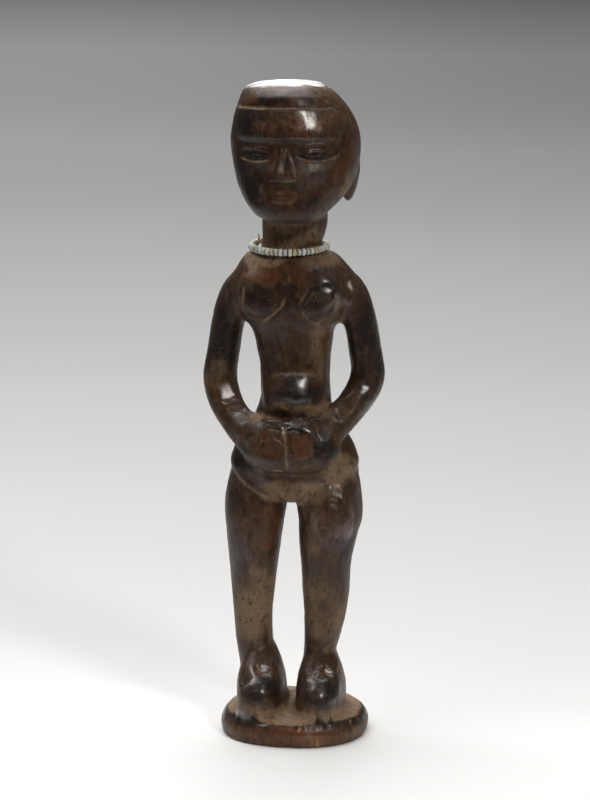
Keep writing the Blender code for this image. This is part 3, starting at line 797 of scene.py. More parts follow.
@dataclass
class Carving:
    """The figure: a fine skin over the CAD shape, with the carver's cuts in it.

    Sizes are in millimetres. Each lump is its height, its width and an offset of the pattern, and each facet
    is its width and how flat it is.
    """

    finish: PatinatedWood
    grid: float = 0.85
    nose_top: float = 243.8
    nose_bottom: float = 233.4
    nose_half_width: float = 4.7
    nose_rise: float = 3.3
    brow: float = 247.6
    mouth: Point2 = (0.0, 225.4)
    mouth_half_length: float = 5.4
    lip_rise: float = 0.85
    lip_parting: float = 0.7
    socket_depth: float = 1.7
    brow_rise: float = 0.3
    lumps: tuple[Point3, ...] = ((0.24, 7.5, 3.0), (0.1, 2.6, 11.0))
    relief_rounds: int = 14
    relief_gain: float = 2.6
    wide_facet: Point2 = (6.0, 0.3)
    narrow_facet: Point2 = (3.6, 0.55)
    base_rim: float = 27.0
    base_rim_stray: float = 0.45
    base_stretch: Point2 = (1.04, 0.97)

    def build(self, node: bpy.types.Object) -> bpy.types.Object:
        """Makes the carving in the place of its CAD node, and returns it."""
        obj = self.make_skin(node)
        skin = Skin(obj)
        skin.relax(6)
        self.carve_face(skin)
        self.carve_body(skin)
        self.cut_facets(skin)
        for amount, size, seed in self.lumps:
            skin.roughen(amount, size, seed)
        skin.cut(self.fine_strokes())
        skin.points[:, 2] = np.maximum(skin.points[:, 2], 0.0)
        skin.refresh()
        skin.measure_relief(self.relief_rounds, self.relief_gain)
        self.paint(skin)
        skin.store_marks()
        make_active(obj)
        bpy.ops.object.shade_smooth()
        obj.data.materials.clear()
        obj.data.materials.append(self.finish.material())
        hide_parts("figure")
        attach(obj, "figure")
        LOG.info("carving: %d faces", len(obj.data.polygons))
        return obj

    def make_skin(self, node: bpy.types.Object) -> bpy.types.Object:
        """Returns an even, fine mesh over the CAD shape, finer on the face and the hands."""
        obj = copy_object(node, "carved_figure")
        make_active(obj)
        bpy.ops.object.mode_set(mode="EDIT")
        bpy.ops.mesh.select_all(action="SELECT")
        bpy.ops.mesh.remove_doubles(threshold=1e-6)
        bpy.ops.object.mode_set(mode="OBJECT")
        apply_modifier(obj, "REMESH", mode="VOXEL", voxel_size=self.grid * MM)
        count = len(obj.data.polygons)
        flat = np.empty(count * 3, np.float32)
        obj.data.polygons.foreach_get("center", flat)
        middle = flat.reshape(-1, 3) / MM
        x, y, z = middle.T
        face = (z > 216) & (z < 262) & (y < -13)
        hands = (z > 110) & (z < 137) & (y < -14) & (np.abs(x) < 17)
        chosen = face | hands
        obj.data.vertices.foreach_set("select", np.zeros(len(obj.data.vertices), bool))
        obj.data.edges.foreach_set("select", np.zeros(len(obj.data.edges), bool))
        obj.data.polygons.foreach_set("select", chosen)
        make_active(obj)
        bpy.ops.object.mode_set(mode="EDIT")
        bpy.ops.mesh.select_mode(type="FACE")
        bpy.ops.mesh.subdivide(number_cuts=1)
        bpy.ops.object.mode_set(mode="OBJECT")
        return obj

    def carve_face(self, skin: Skin) -> None:
        """Shapes the brow, the sockets, the nose, the eyes and the mouth."""
        x, y, z = skin.points.T
        front = smooth_step((-y - 8.0) / 6.0)
        soft = smooth_step((8.5 - np.abs(x)) / 2.0) * smooth_step((z - 227.0) / 3.0)
        soft *= smooth_step((250.0 - z) / 3.0) * front
        skin.relax(120, soft)
        middle = 0.2
        socket = smooth_step((self.brow + 1.2 - z) / 3.2) * smooth_step((z - 233.0) / 8.0)
        socket *= smooth_step((24.0 - np.abs(x - middle)) / 7.0) * front
        skin.points[:, 1] += socket * self.socket_depth
        brow = np.exp(-(((z - 250.5) / 3.4) ** 2)) * smooth_step((22.0 - np.abs(x)) / 8.0) * front
        skin.points[:, 1] -= brow * self.brow_rise
        down = np.clip((self.nose_top - z) / (self.nose_top - self.nose_bottom), 0.0, 1.0)
        wide = 1.7 + (self.nose_half_width - 1.7) * down
        rise = 0.9 + (self.nose_rise - 0.9) * down
        across = smooth_step((wide - np.abs(x + 0.6)) / np.maximum(wide - 0.8, 0.1))
        ends = smooth_step((self.nose_top + 1.0 - z) / 1.6) * smooth_step((z - self.nose_bottom) / 0.9)
        skin.points[:, 1] -= rise * across * ends * front
        skin.refresh()
        for eye in (Eye((-12.4, 241.7)), Eye((12.3, 241.8))):
            skin.points += skin.normals * (eye.shape(x, z) * front)[:, None]
        along = (x - self.mouth[0]) / self.mouth_half_length
        up = z - self.mouth[1]
        lips = np.clip(1.0 - along**2, 0.0, 1.0) ** 0.5 * smooth_step(1.0 - np.abs(up) / 2.8)
        parting = np.clip(1.0 - np.abs(up - 0.3) / 0.5, 0.0, 1.0) * smooth_step((1.0 - np.abs(along)) * 3.0)
        skin.points[:, 1] -= (lips * self.lip_rise - parting * self.lip_parting) * front
        skin.refresh()
        skin.relax(1, smooth_step((z - 214.0) / 3.0) * front * 0.6)
        skin.cut(self.face_strokes())

    def face_strokes(self) -> tuple[Stroke, ...]:
        """Returns the lines cut in the head."""
        top = self.nose_top
        low = self.nose_bottom
        return (
            Stroke(
                "hair line, left end",
                ((-25.5, 258.0), (-20.0, 259.2), (-13.0, 259.7), (-7.0, 260.0)),
                1.0, 0.45, dust=1.0,
            ),
            Stroke(
                "hair line",
                ((-12.0, 259.8), (0.0, 260.2), (18.0, 259.4), (24.0, 258.2)),
                0.8, 0.3, dust=0.3,
            ),
            Stroke(
                "upper lid of left eye",
                ((-20.2, 242.2), (-16.0, 243.6), (-10.0, 244.3), (-4.6, 244.2)),
                0.55, 0.15, dust=0.75,
            ),
            Stroke(
                "lower lid of left eye",
                ((-20.2, 239.8), (-14.0, 238.6), (-9.0, 239.0), (-5.8, 240.4)),
                0.6, 0.2, dust=0.95,
            ),
            Stroke(
                "lower lid of right eye",
                ((5.4, 240.8), (9.0, 239.4), (14.0, 239.0), (19.6, 240.6)),
                0.6, 0.2, dust=0.6,
            ),
            Stroke(
                "hair line behind",
                ((-25.5, 258.0), (-14.0, 259.6), (0.0, 260.0), (14.0, 259.6), (24.0, 258.2)),
                0.8, 0.4, view=View.BACK, dust=0.6,
            ),
            Stroke(
                "left side of nose",
                ((-3.0, top), (-5.0, 238.0), (-5.9, low + 0.4)),
                0.6, 0.25, dust=0.25,
            ),
            Stroke(
                "right side of nose",
                ((1.8, top), (3.8, 238.0), (4.8, low), (5.0, 229.5)),
                0.6, 0.3, dust=0.6,
            ),
            Stroke(
                "under the nose",
                ((-6.4, low - 1.5), (-0.7, low - 1.9), (5.2, low - 1.2)),
                0.7, 0.45, dust=0.95,
            ),
            Stroke("under the lip", ((-4.8, 223.5), (-0.3, 222.5), (4.6, 223.6)), 0.8, 0.35, dust=0.5),
            Stroke("over the lip", ((-4.6, 228.0), (0.0, 228.6), (4.4, 227.6)), 1.3, 0.35, Profile.HOLLOW),
            Stroke(
                "upper fold of right eye",
                ((5.6, 243.9), (11.8, 245.7), (17.6, 244.3)),
                0.7, 0.3, dust=0.2,
            ),
        )

    def carve_body(self, skin: Skin) -> None:
        """Shapes the chest, the belly, the hands, the hips and the feet."""
        for patch, rise in (
            (Patch((-10.5, -15.0, 183.5), (17.0, 14.0, 14.0), 1.0), 0.9),
            (Patch((12.0, -14.0, 182.5), (16.0, 14.0, 14.0), 1.0), 0.7),
            (Patch((16.5, -14.0, 93.0), (12.0, 14.0, 18.0), 1.0), 1.7),
        ):
            skin.points += skin.normals * (skin.weight(patch) * rise)[:, None]
        x, y, z = skin.points.T
        front = smooth_step((-y - 6.0) / 5.0) * smooth_step((y + 23.0) / 3.0)
        across = np.clip(1.0 - ((x - 2.0) / 18.0) ** 2, 0.0, 1.0)
        levels = (134.0, 138.0, 141.0, 144.0, 148.0, 152.3, 153.2, 157.0)
        swell = np.interp(z, levels, (0.0, 1.3, 2.7, 3.1, 1.9, 0.1, -0.35, 0.0))
        skin.points[:, 1] -= swell * across * front
        skin.refresh()
        self.shape_base(skin)
        skin.cut(
            (
                Stroke(
                    "left breast line",
                    ((-11.5, 172.0), (-7.8, 175.3), (-2.4, 180.2), (-1.2, 185.0)),
                    0.9, 0.55, dust=0.8,
                ),
                Stroke(
                    "right breast line",
                    (
                        (5.0, 181.5), (6.8, 176.3), (11.0, 173.0), (15.8, 174.0), (18.2, 179.0),
                        (19.2, 186.5),
                    ),
                    0.9, 0.55, dust=0.75,
                ),
                Stroke("left armpit", ((-17.8, 189.0), (-18.6, 182.0), (-19.6, 175.0)), 0.9, 0.6, dust=0.9),
                Stroke("right armpit", ((19.3, 187.0), (19.2, 181.0), (18.6, 175.5)), 0.9, 0.6, dust=0.95),
                Stroke(
                    "belly fold",
                    ((-9.0, 150.5), (-3.2, 152.3), (4.0, 152.8), (12.5, 151.3)),
                    0.9, 0.4, dust=0.6,
                ),
                Stroke(
                    "left hip line",
                    ((-27.0, 114.5), (-20.0, 107.9), (-13.0, 102.9), (-5.0, 99.0), (0.5, 97.8)),
                    1.0, -1.0, Profile.LEDGE, fade=4.0,
                ),
                Stroke(
                    "right hip line",
                    ((3.0, 99.5), (8.0, 104.0), (16.0, 109.3), (28.0, 114.2)),
                    1.0, -0.95, Profile.LEDGE, fade=4.0,
                ),
                Stroke(
                    "left hip groove",
                    ((-26.0, 113.0), (-20.0, 107.4), (-13.0, 102.4), (-5.0, 98.6)),
                    0.75, 0.35, dust=1.1,
                ),
                Stroke(
                    "right hip groove",
                    ((27.5, 113.6), (16.0, 108.8), (8.0, 103.5), (4.0, 100.0)),
                    0.75, 0.35, dust=1.0,
                ),
                Stroke(
                    "seam of the hands",
                    ((-0.8, 134.0), (-0.3, 128.0), (0.3, 120.0), (0.1, 112.8)),
                    1.3, 0.85, dust=0.75,
                ),
                Stroke(
                    "toe ledge, left",
                    ((-18.5, 26.4), (-14.5, 25.3), (-10.0, 25.2), (-6.0, 26.6)),
                    0.9, 0.5, Profile.LEDGE, fade=4.0,
                ),
                Stroke(
                    "toe ledge, right",
                    ((8.5, 27.0), (12.5, 26.2), (16.5, 26.2), (20.5, 27.2)),
                    0.9, 0.5, Profile.LEDGE, fade=4.0,
                ),
                Stroke("left thumb", ((-9.0, 131.0), (-5.0, 131.2), (-1.6, 130.4)), 0.7, 0.45, dust=0.8),
                Stroke("right thumb", ((0.2, 130.4), (3.0, 130.8), (6.2, 130.4)), 0.7, 0.4, dust=0.7),
                Stroke(
                    "left finger line",
                    ((-10.8, 115.5), (-5.0, 114.3), (-1.2, 114.6)),
                    0.7, 0.4, dust=0.3,
                ),
                Stroke(
                    "upper right finger line",
                    ((1.6, 118.6), (6.0, 119.0), (9.8, 121.0)),
                    0.7, 0.35, dust=0.3,
                ),
                Stroke(
                    "lower right finger line",
                    ((1.8, 114.6), (7.0, 115.2), (12.4, 117.4)),
                    0.8, 0.4, dust=0.25,
                ),
                Stroke(
                    "swell over the hair line",
                    ((-16.0, 262.6), (0.0, 263.4), (18.0, 262.6)),
                    2.6, 0.45, Profile.SWELL,
                ),
                Stroke(
                    "ring on the neck",
                    ((-11.5, 210.8), (-5.0, 209.0), (4.0, 208.6), (12.0, 210.0)),
                    1.0, 0.35, dust=0.35,
                ),
                Stroke(
                    "lower ring on the neck",
                    ((-2.0, 206.0), (5.0, 205.8), (12.0, 207.2)),
                    0.8, 0.25, dust=0.3,
                ),
            )
        )

    def shape_base(self, skin: Skin) -> None:
        """Gives the base a crisper rim, with the trodden top a little proud of a worn band."""
        chance = np.random.default_rng(3)
        turns = np.linspace(0.0, 2 * math.pi, 41)
        radii = self.base_rim + chance.uniform(-self.base_rim_stray, self.base_rim_stray, 41)
        radii[-1] = radii[0]
        wide, deep = self.base_stretch
        ring = tuple((r * math.cos(t) * wide, r * math.sin(t) * deep) for r, t in zip(radii, turns))
        skin.cut((Stroke("worn band of the base", ring, 0.7, -0.55, Profile.LEDGE, View.ABOVE, fade=2.0),))

    def cut_facets(self, skin: Skin) -> None:
        """Leaves the blade's flat facets on the limbs, the hands, the feet and the base."""
        skin.pare(
            (
                Flat("top of left foot, outside", (-11.0, 29.5), (0.36, -0.783, 0.507), 0.65, 4.4, 0.95),
                Flat("top of left foot, inside", (-6.0, 29.5), (0.5, -0.7, 0.5), 0.5, 4.4, 0.8),
                Flat("outside of left foot", (-17.5, 27.0), (-0.75, -0.6, 0.3), 0.5, 5.5),
                Flat("inside of left foot", (-3.6, 23.0), (0.85, -0.5, 0.2), 0.4, 5.5),
                Flat("top of right foot, middle", (15.4, 29.5), (0.36, -0.783, 0.507), 0.6, 4.0, 0.95),
                Flat("top of right foot, outside", (20.4, 28.5), (0.7, -0.5, 0.5), 0.5, 5.5),
                Flat("top of right foot, inside", (10.0, 31.0), (-0.5, -0.62, 0.6), 0.6, 5.0),
                Flat("side of right breast", (15.8, 187.0), (0.377, -0.827, 0.415), 0.3, 3.2, 0.9),
                Flat("front of right shoulder", (24.0, 188.0), (0.377, -0.827, 0.415), 0.35, 3.6, 1.0),
                Flat("upper side of left forearm", (-26.3, 143.0), (0.34, -0.82, 0.46), 0.7, 5.5, 1.0),
                Flat("left forearm towards the wrist", (-22.6, 138.6), (0.34, -0.82, 0.46), 0.5, 4.6, 0.6),
                Flat("left wrist", (-20.0, 134.4), (0.05, -0.8, 0.6), 0.5, 4.0),
                Flat("lower side of left forearm", (-23.0, 128.0), (-0.62, -0.7, -0.3), 0.5, 12.0),
                Flat("upper side of right forearm", (23.5, 138.0), (-0.3, -0.75, 0.6), 0.5, 6.0),
                Flat("elbow of the right arm", (30.5, 146.5), (0.38, -0.8, 0.45), 0.3, 2.0, 0.8),
                Flat("back of the left hand", (-8.0, 125.0), (-0.14, -0.99, -0.02), 0.8, 10.0),
                Flat("back of the right hand", (7.5, 126.0), (0.2, -0.97, 0.1), 0.7, 9.0),
                Flat("underside of left hand", (-11.0, 115.5), (-0.4, -0.7, -0.6), 0.5, 8.0),
                Flat("underside of right hand", (10.0, 114.5), (0.35, -0.7, -0.6), 0.5, 8.0),
                Flat("right thigh, first cut", (18.3, 107.3), (0.377, -0.827, 0.415), 0.4, 3.2, 1.0),
                Flat("right thigh, second cut", (18.6, 102.8), (0.36, -0.84, 0.4), 0.45, 3.2, 1.0),
                Flat("right thigh, third cut", (17.8, 98.4), (0.38, -0.83, 0.4), 0.4, 3.2, 1.0),
                Flat("left cheek", (-15.0, 229.0), (-0.55, -0.8, -0.12), 0.4, 11.0),
                Flat("right cheek", (13.0, 231.0), (0.4, -0.9, -0.08), 0.4, 11.0),
            )
        )
        skin.facet((Patch((0.0, 0.0, 90.0), (60.0, 60.0, 125.0), 1.0),), *self.wide_facet, 21)
        skin.facet(
            (
                Patch((0.0, 0.0, 16.0), (40.0, 40.0, 30.0), 1.0),
                Patch((0.0, -14.0, 122.0), (40.0, 20.0, 22.0), 0.8),
            ),
            *self.narrow_facet,
            9,
        )
        skin.relax(2, 0.7)

    def fine_strokes(self) -> tuple[Stroke, ...]:
        """Returns the scratches, the cracks and the nicks, which lie on top of everything else."""
        strokes = [
            Stroke("scratch on the breastbone", ((0.9, 194.0), (0.2, 189.5)), 0.5, 0.3, dust=0.9),
            Stroke(
                "crack in the base",
                ((-1.8, 14.0), (1.5, 0.0), (3.6, -11.0), (6.2, -24.0)),
                0.6, 0.9, view=View.ABOVE,
            ),
            Stroke(
                "second crack in the base",
                ((-3.4, 6.0), (-0.4, -6.0), (1.6, -15.0)),
                0.5, 0.5, view=View.ABOVE,
            ),
            Stroke(
                "edge of left hand",
                ((-12.5, 133.0), (-8.5, 133.7), (-4.5, 134.0), (-0.9, 134.0)),
                1.0, 0.55, Profile.SWELL,
            ),
            Stroke(
                "edge of right hand",
                ((0.6, 134.0), (5.0, 134.0), (9.0, 134.0), (13.0, 134.6)),
                1.0, 0.55, Profile.SWELL,
            ),
            Stroke(
                "cut on the left hand",
                ((-5.2, 127.0), (-2.6, 126.2), (-0.4, 124.4)),
                0.5, 0.4, dust=0.8,
            ),
            Stroke("ankle line", ((4.0, 38.0), (9.0, 36.6), (15.6, 34.6)), 0.6, 0.4, dust=0.5),
        ]
        for number, line in enumerate(
            (
                ((-8.4, 36.5), (-8.2, 31.0), (-7.8, 26.0)),
                ((12.7, 36.0), (12.8, 31.0), (12.6, 26.8)),
                ((17.6, 34.0), (18.1, 30.0), (18.3, 27.0)),
            )
        ):
            strokes.append(Stroke(f"ridge between foot cuts {number}", line, 1.2, 0.4, Profile.SWELL))
        for number, line in enumerate(
            (
                ((-12.6, 37.0), (-13.6, 31.5), (-13.0, 26.5)),
                ((-3.6, 34.0), (-2.6, 28.0), (-1.4, 20.0)),
                ((9.6, 37.0), (8.6, 31.0), (8.8, 26.5)),
            )
        ):
            strokes.append(Stroke(f"edge of a foot cut {number}", line, 0.8, 0.3, dust=0.45))
        chance = np.random.default_rng(5)
        for number in range(15):
            angle = chance.uniform(-2.6, -0.5)
            turn = np.array([math.cos(angle), math.sin(angle)])
            outer = turn * chance.uniform(28.0, 28.8)
            inner = turn * chance.uniform(25.8, 27.2)
            width = chance.uniform(0.5, 0.9)
            depth = chance.uniform(0.1, 0.22)
            line = (tuple(inner), tuple(outer))
            strokes.append(Stroke(f"rim nick {number}", line, width, depth, view=View.ABOVE, dust=0.3))
        for number in range(13):
            x = 8.5 + number * 1.35 + chance.uniform(-0.4, 0.4)
            z = 199.5 - number * 0.45
            bow = ((x, z), (x + 2.6, z - 2.0), (x + 4.4, z - 4.6 + chance.uniform(-1.0, 1.0)))
            dust = chance.uniform(0.3, 0.7)
            strokes.append(Stroke(f"shoulder scratch {number}", bow, 0.5, 0.16, dust=dust))
        for number in range(10):
            x = 4.0 + number * 1.5
            z = 180.5 + chance.uniform(-1.5, 2.5)
            line = ((x, z), (x + 3.2, z + chance.uniform(4.5, 6.5)))
            strokes.append(Stroke(f"breast scratch {number}", line, 0.6, 0.2, dust=0.5))
        for number in range(34):
            x = chance.uniform(-24.0, 24.0)
            z = chance.uniform(40.0, 250.0)
            line = ((x, z), (x + chance.uniform(-5.0, 5.0), z + chance.uniform(-3.5, 3.5)))
            depth = chance.uniform(0.1, 0.22)
            dust = chance.uniform(0.1, 0.5)
            strokes.append(Stroke(f"scratch {number}", line, 0.5, depth, dust=dust))
        return tuple(strokes)

    def paint(self, skin: Skin) -> None:
        """Lays the patina: polish from hands, dust in the hollows and wood gone black, with painted shade and
        a painted sheen in places.
        """
        skin.paint(
            "reddish",
            (
                Patch((7.0, -26.0, 253.0), (14.0, 13.0, 7.5), 1.0),
                Patch((-9.0, -24.0, 251.0), (9.0, 12.0, 5.0), 0.25),
                Patch((4.0, -23.0, 262.5), (10.0, 12.0, 3.0), 0.6),
                Patch((-14.0, -19.0, 262.0), (5.0, 10.0, 3.0), 0.5),
                Patch((20.0, -16.0, 238.0), (9.0, 14.0, 14.0), 0.5),
                Patch((-4.0, -15.0, 193.5), (24.0, 12.0, 6.0), 0.85),
                Patch((-7.0, -23.0, 125.5), (11.0, 10.0, 7.5), 1.0),
                Patch((5.5, -23.0, 124.5), (7.0, 10.0, 6.5), 1.0),
                Patch((-11.0, -10.0, 88.0), (11.0, 14.0, 18.0), 0.7),
                Patch((14.0, -10.0, 92.0), (14.0, 14.0, 18.0), 0.45),
                Patch((0.0, -28.0, 3.5), (44.0, 34.0, 9.0), 1.0),
                Patch((0.5, -28.0, 225.0), (7.0, 8.0, 4.0), 0.95),
                Patch((0.0, -28.0, 236.0), (5.0, 6.0, 5.0), 0.4),
            ),
        )
        skin.paint(
            "polish",
            (
                Patch((5.0, -22.0, 253.5), (22.0, 18.0, 9.0), 0.85),
                Patch((-3.0, 2.0, 268.5), (28.0, 25.0, 4.2), 1.1),
                Patch((13.0, -24.0, 243.8), (8.0, 10.0, 2.4), 0.9),
                Patch((14.0, -14.0, 187.0), (14.0, 14.0, 10.0), 0.9),
                Patch((26.0, -8.0, 186.0), (9.0, 14.0, 10.0), 0.9),
                Patch((3.0, -18.0, 147.5), (17.0, 10.0, 7.5), 1.0),
                Patch((0.0, -22.0, 127.0), (20.0, 12.0, 9.0), 0.9),
                Patch((-26.0, -10.0, 139.0), (9.0, 14.0, 9.0), 0.8),
                Patch((29.0, -10.0, 143.0), (10.0, 16.0, 12.0), 0.8),
                Patch((17.0, -10.0, 95.0), (12.0, 16.0, 20.0), 0.95),
                Patch((-20.0, -6.0, 84.0), (10.0, 16.0, 26.0), 0.4),
                Patch((-10.5, -18.0, 23.5), (15.0, 16.0, 11.0), 0.95),
                Patch((14.5, -18.0, 23.5), (15.0, 16.0, 11.0), 0.95),
                Patch((-31.0, -4.0, 176.0), (10.0, 20.0, 24.0), 0.5),
                Patch((31.0, -4.0, 168.0), (10.0, 20.0, 24.0), 0.6),
            ),
        )
        skin.paint(
            "rubbed",
            (
                Patch((-2.0, -17.0, 138.6), (3.4, 6.0, 0.9), 0.85),
                Patch((9.0, -17.0, 139.0), (6.0, 6.0, 0.8), 0.8),
                Patch((-4.0, -22.0, 114.0), (3.5, 6.0, 0.8), 0.8),
                Patch((8.0, -22.0, 116.0), (5.0, 6.0, 0.7), 0.6),
                Patch((5.9, -27.5, 8.2), (0.8, 5.0, 1.8), 1.0),
                Patch((13.2, -26.0, 2.8), (0.8, 5.0, 2.2), 1.0),
                Patch((25.0, -16.0, 8.8), (0.9, 5.0, 1.4), 0.8),
                Patch((-17.5, -22.0, 9.0), (0.8, 6.0, 1.4), 0.7),
                Patch((21.0, -2.0, 32.0), (2.5, 6.0, 3.0), 0.6),
                Patch((-6.5, -10.0, 60.0), (1.2, 6.0, 6.0), 0.6),
            ),
            stray=0.3,
        )
        skin.paint(
            "black_and_shade",
            (
                # Painted shade: the first two patches darken the left cheek and the left of the forehead, as
                # that side gets less light.
                Patch((-15.0, -16.0, 229.0), (15.0, 18.0, 20.0), 0.75),
                Patch((-16.0, -14.0, 253.0), (16.0, 18.0, 10.0), 1.05),
                Patch((0.0, -24.0, 263.2), (26.0, 14.0, 3.4), 0.7),
                Patch((14.0, -20.0, 219.0), (12.0, 12.0, 9.0), 0.45),
                Patch((0.0, -27.0, 239.5), (4.5, 8.0, 6.0), 0.7),
                Patch((10.0, -16.0, 185.0), (17.0, 12.0, 12.0), 0.5),
                Patch((-7.0, -16.0, 183.0), (14.0, 12.0, 9.0), 0.6),
                Patch((-31.0, 0.0, 165.0), (12.0, 22.0, 34.0), 0.6),
                Patch((31.0, 0.0, 160.0), (12.0, 22.0, 34.0), 0.6),
                Patch((3.0, -16.0, 144.5), (17.0, 10.0, 8.0), 0.6),
                Patch((-3.0, -14.0, 159.0), (14.0, 10.0, 9.0), 0.45),
                Patch((-10.5, -20.0, 21.5), (15.0, 18.0, 7.5), 0.65),
                Patch((14.5, -20.0, 21.5), (15.0, 18.0, 7.5), 0.65),
                Patch((-24.0, 0.0, 85.0), (9.0, 22.0, 34.0), 0.7),
                Patch((22.0, -4.0, 75.0), (12.0, 18.0, 20.0), 0.5),
                Patch((-20.0, -14.0, 116.5), (11.0, 14.0, 9.0), 0.95),
                Patch((16.0, -22.0, 124.0), (9.0, 14.0, 9.0), 0.6),
                Patch((-17.0, -12.0, 74.0), (3.5, 12.0, 14.0), 0.6),
                Patch((-6.0, -12.0, 76.0), (2.5, 12.0, 14.0), 0.6),
            ),
        )
        skin.paint("polish", (Patch((0.0, -20.0, 134.6), (17.0, 12.0, 1.8), 1.6),), stray=0.1)
        # Painted shade: the eye slits are darkened as deep cuts in shade.
        for centre in (-12.4, 12.3):
            skin.paint("black_and_shade", (Patch((centre, -24.0, 241.4), (8.0, 10.0, 1.5), 1.2),), stray=0.0)
        skin.paint("black_and_shade", (Patch((0.0, -24.0, 131.6), (17.0, 10.0, 2.6), 0.9),), stray=0.4)
        skin.paint(
            "grey_and_sheen",
            (
                Patch((9.0, -25.0, 234.0), (10.0, 10.0, 8.0), 0.9),
                Patch((0.0, -25.0, 246.8), (24.0, 12.0, 3.6), 0.9),
                # Painted sheen on the upper left chest, where the light from above falls.
                Patch((-11.0, -14.0, 199.5), (13.0, 24.0, 6.5), 0.6),
                Patch((15.0, -14.0, 111.0), (12.0, 12.0, 8.0), 0.45),
                Patch((16.0, -14.0, 216.0), (10.0, 14.0, 6.0), 0.5),
                Patch((-31.0, 0.0, 4.0), (8.0, 24.0, 10.0), 0.6),
                # Painted sheen on the tops of the feet, where the light from above falls.
                Patch((-13.0, -16.0, 31.0), (8.0, 8.0, 6.0), 0.35),
                Patch((14.0, -16.0, 31.0), (8.0, 8.0, 6.0), 0.3),
            ),
        )
        skin.paint(
            "dusty",
            (
                Patch((2.0, -14.0, 104.0), (23.0, 14.0, 7.5), 0.75),
                Patch((14.0, -8.0, 164.0), (12.0, 14.0, 24.0), 0.6),
                Patch((-2.0, -14.0, 165.0), (16.0, 12.0, 14.0), 0.12),
                Patch((2.0, -14.0, 138.5), (22.0, 14.0, 4.5), 0.7),
                Patch((0.0, -6.0, 207.5), (17.0, 18.0, 9.5), 0.85),
                Patch((-14.0, 0.0, 54.0), (16.0, 24.0, 28.0), 0.8),
                Patch((14.0, 0.0, 54.0), (16.0, 24.0, 28.0), 0.6),
                Patch((8.0, -14.0, 88.0), (7.0, 14.0, 24.0), 0.5),
                # Dust on the upper left chest, raised into a painted sheen where the light from above falls.
                Patch((-11.0, -14.0, 199.5), (14.0, 24.0, 7.0), 1.25),
                Patch((14.0, -12.0, 199.5), (14.0, 24.0, 6.5), 0.9),
                Patch((-31.0, -4.0, 148.0), (9.0, 16.0, 10.0), 0.55),
                Patch((-15.0, -14.0, 134.5), (5.0, 8.0, 3.5), 1.0),
                Patch((2.0, -18.0, 139.3), (20.0, 8.0, 3.2), 0.6),
                Patch((16.0, -14.0, 137.5), (6.0, 8.0, 4.0), 0.6),
                Patch((20.0, -10.0, 112.0), (13.0, 14.0, 10.0), 0.9),
                Patch((21.5, -8.0, 226.0), (3.5, 12.0, 11.0), 1.1),
                Patch((14.0, -18.0, 216.5), (9.0, 10.0, 5.0), 0.5),
                Patch((-12.5, -18.0, 13.0), (11.0, 12.0, 4.0), 0.7),
                Patch((14.0, -18.0, 13.0), (11.0, 12.0, 4.0), 0.7),
            ),
        )
        self.paint_base(skin)

    def paint_base(self, skin: Skin) -> None:
        """Lays the patina of the base: a dusty top, a dark polished band round the rim and a matt side."""
        x, y, z = (skin.points + skin.wander * 0.2).T
        wide, deep = self.base_stretch
        round_way = np.hypot(x / wide, y / deep)
        inside = smooth_step((27.6 - round_way) / 0.8)
        top = smooth_step((z - 8.8) / 1.2) * smooth_step((15.0 - z) / 3.0) * inside
        band = smooth_step((round_way - 26.7) / 0.7) * smooth_step((z - 6.4) / 1.2) * (z < 13.0)
        side = smooth_step((6.6 - z) / 1.6)
        for mark, share in (
            ("dusty", top * 1.3),
            ("polish", band),
            ("black_and_shade", band * 0.8),
            ("dusty", side * 0.4),
        ):
            skin.marks[mark] = np.maximum(skin.marks[mark], share)


# ---------------------------------------------------------------- the bead strand


@dataclass(frozen=True)
class BeadSize:
    """A seed bead, in millimetres: a short tube with a rounded outside."""

    diameter: float = 2.95
    length: float = 1.56
    hole: float = 1.1
    rounding: float = 0.62
    sides: int = 28


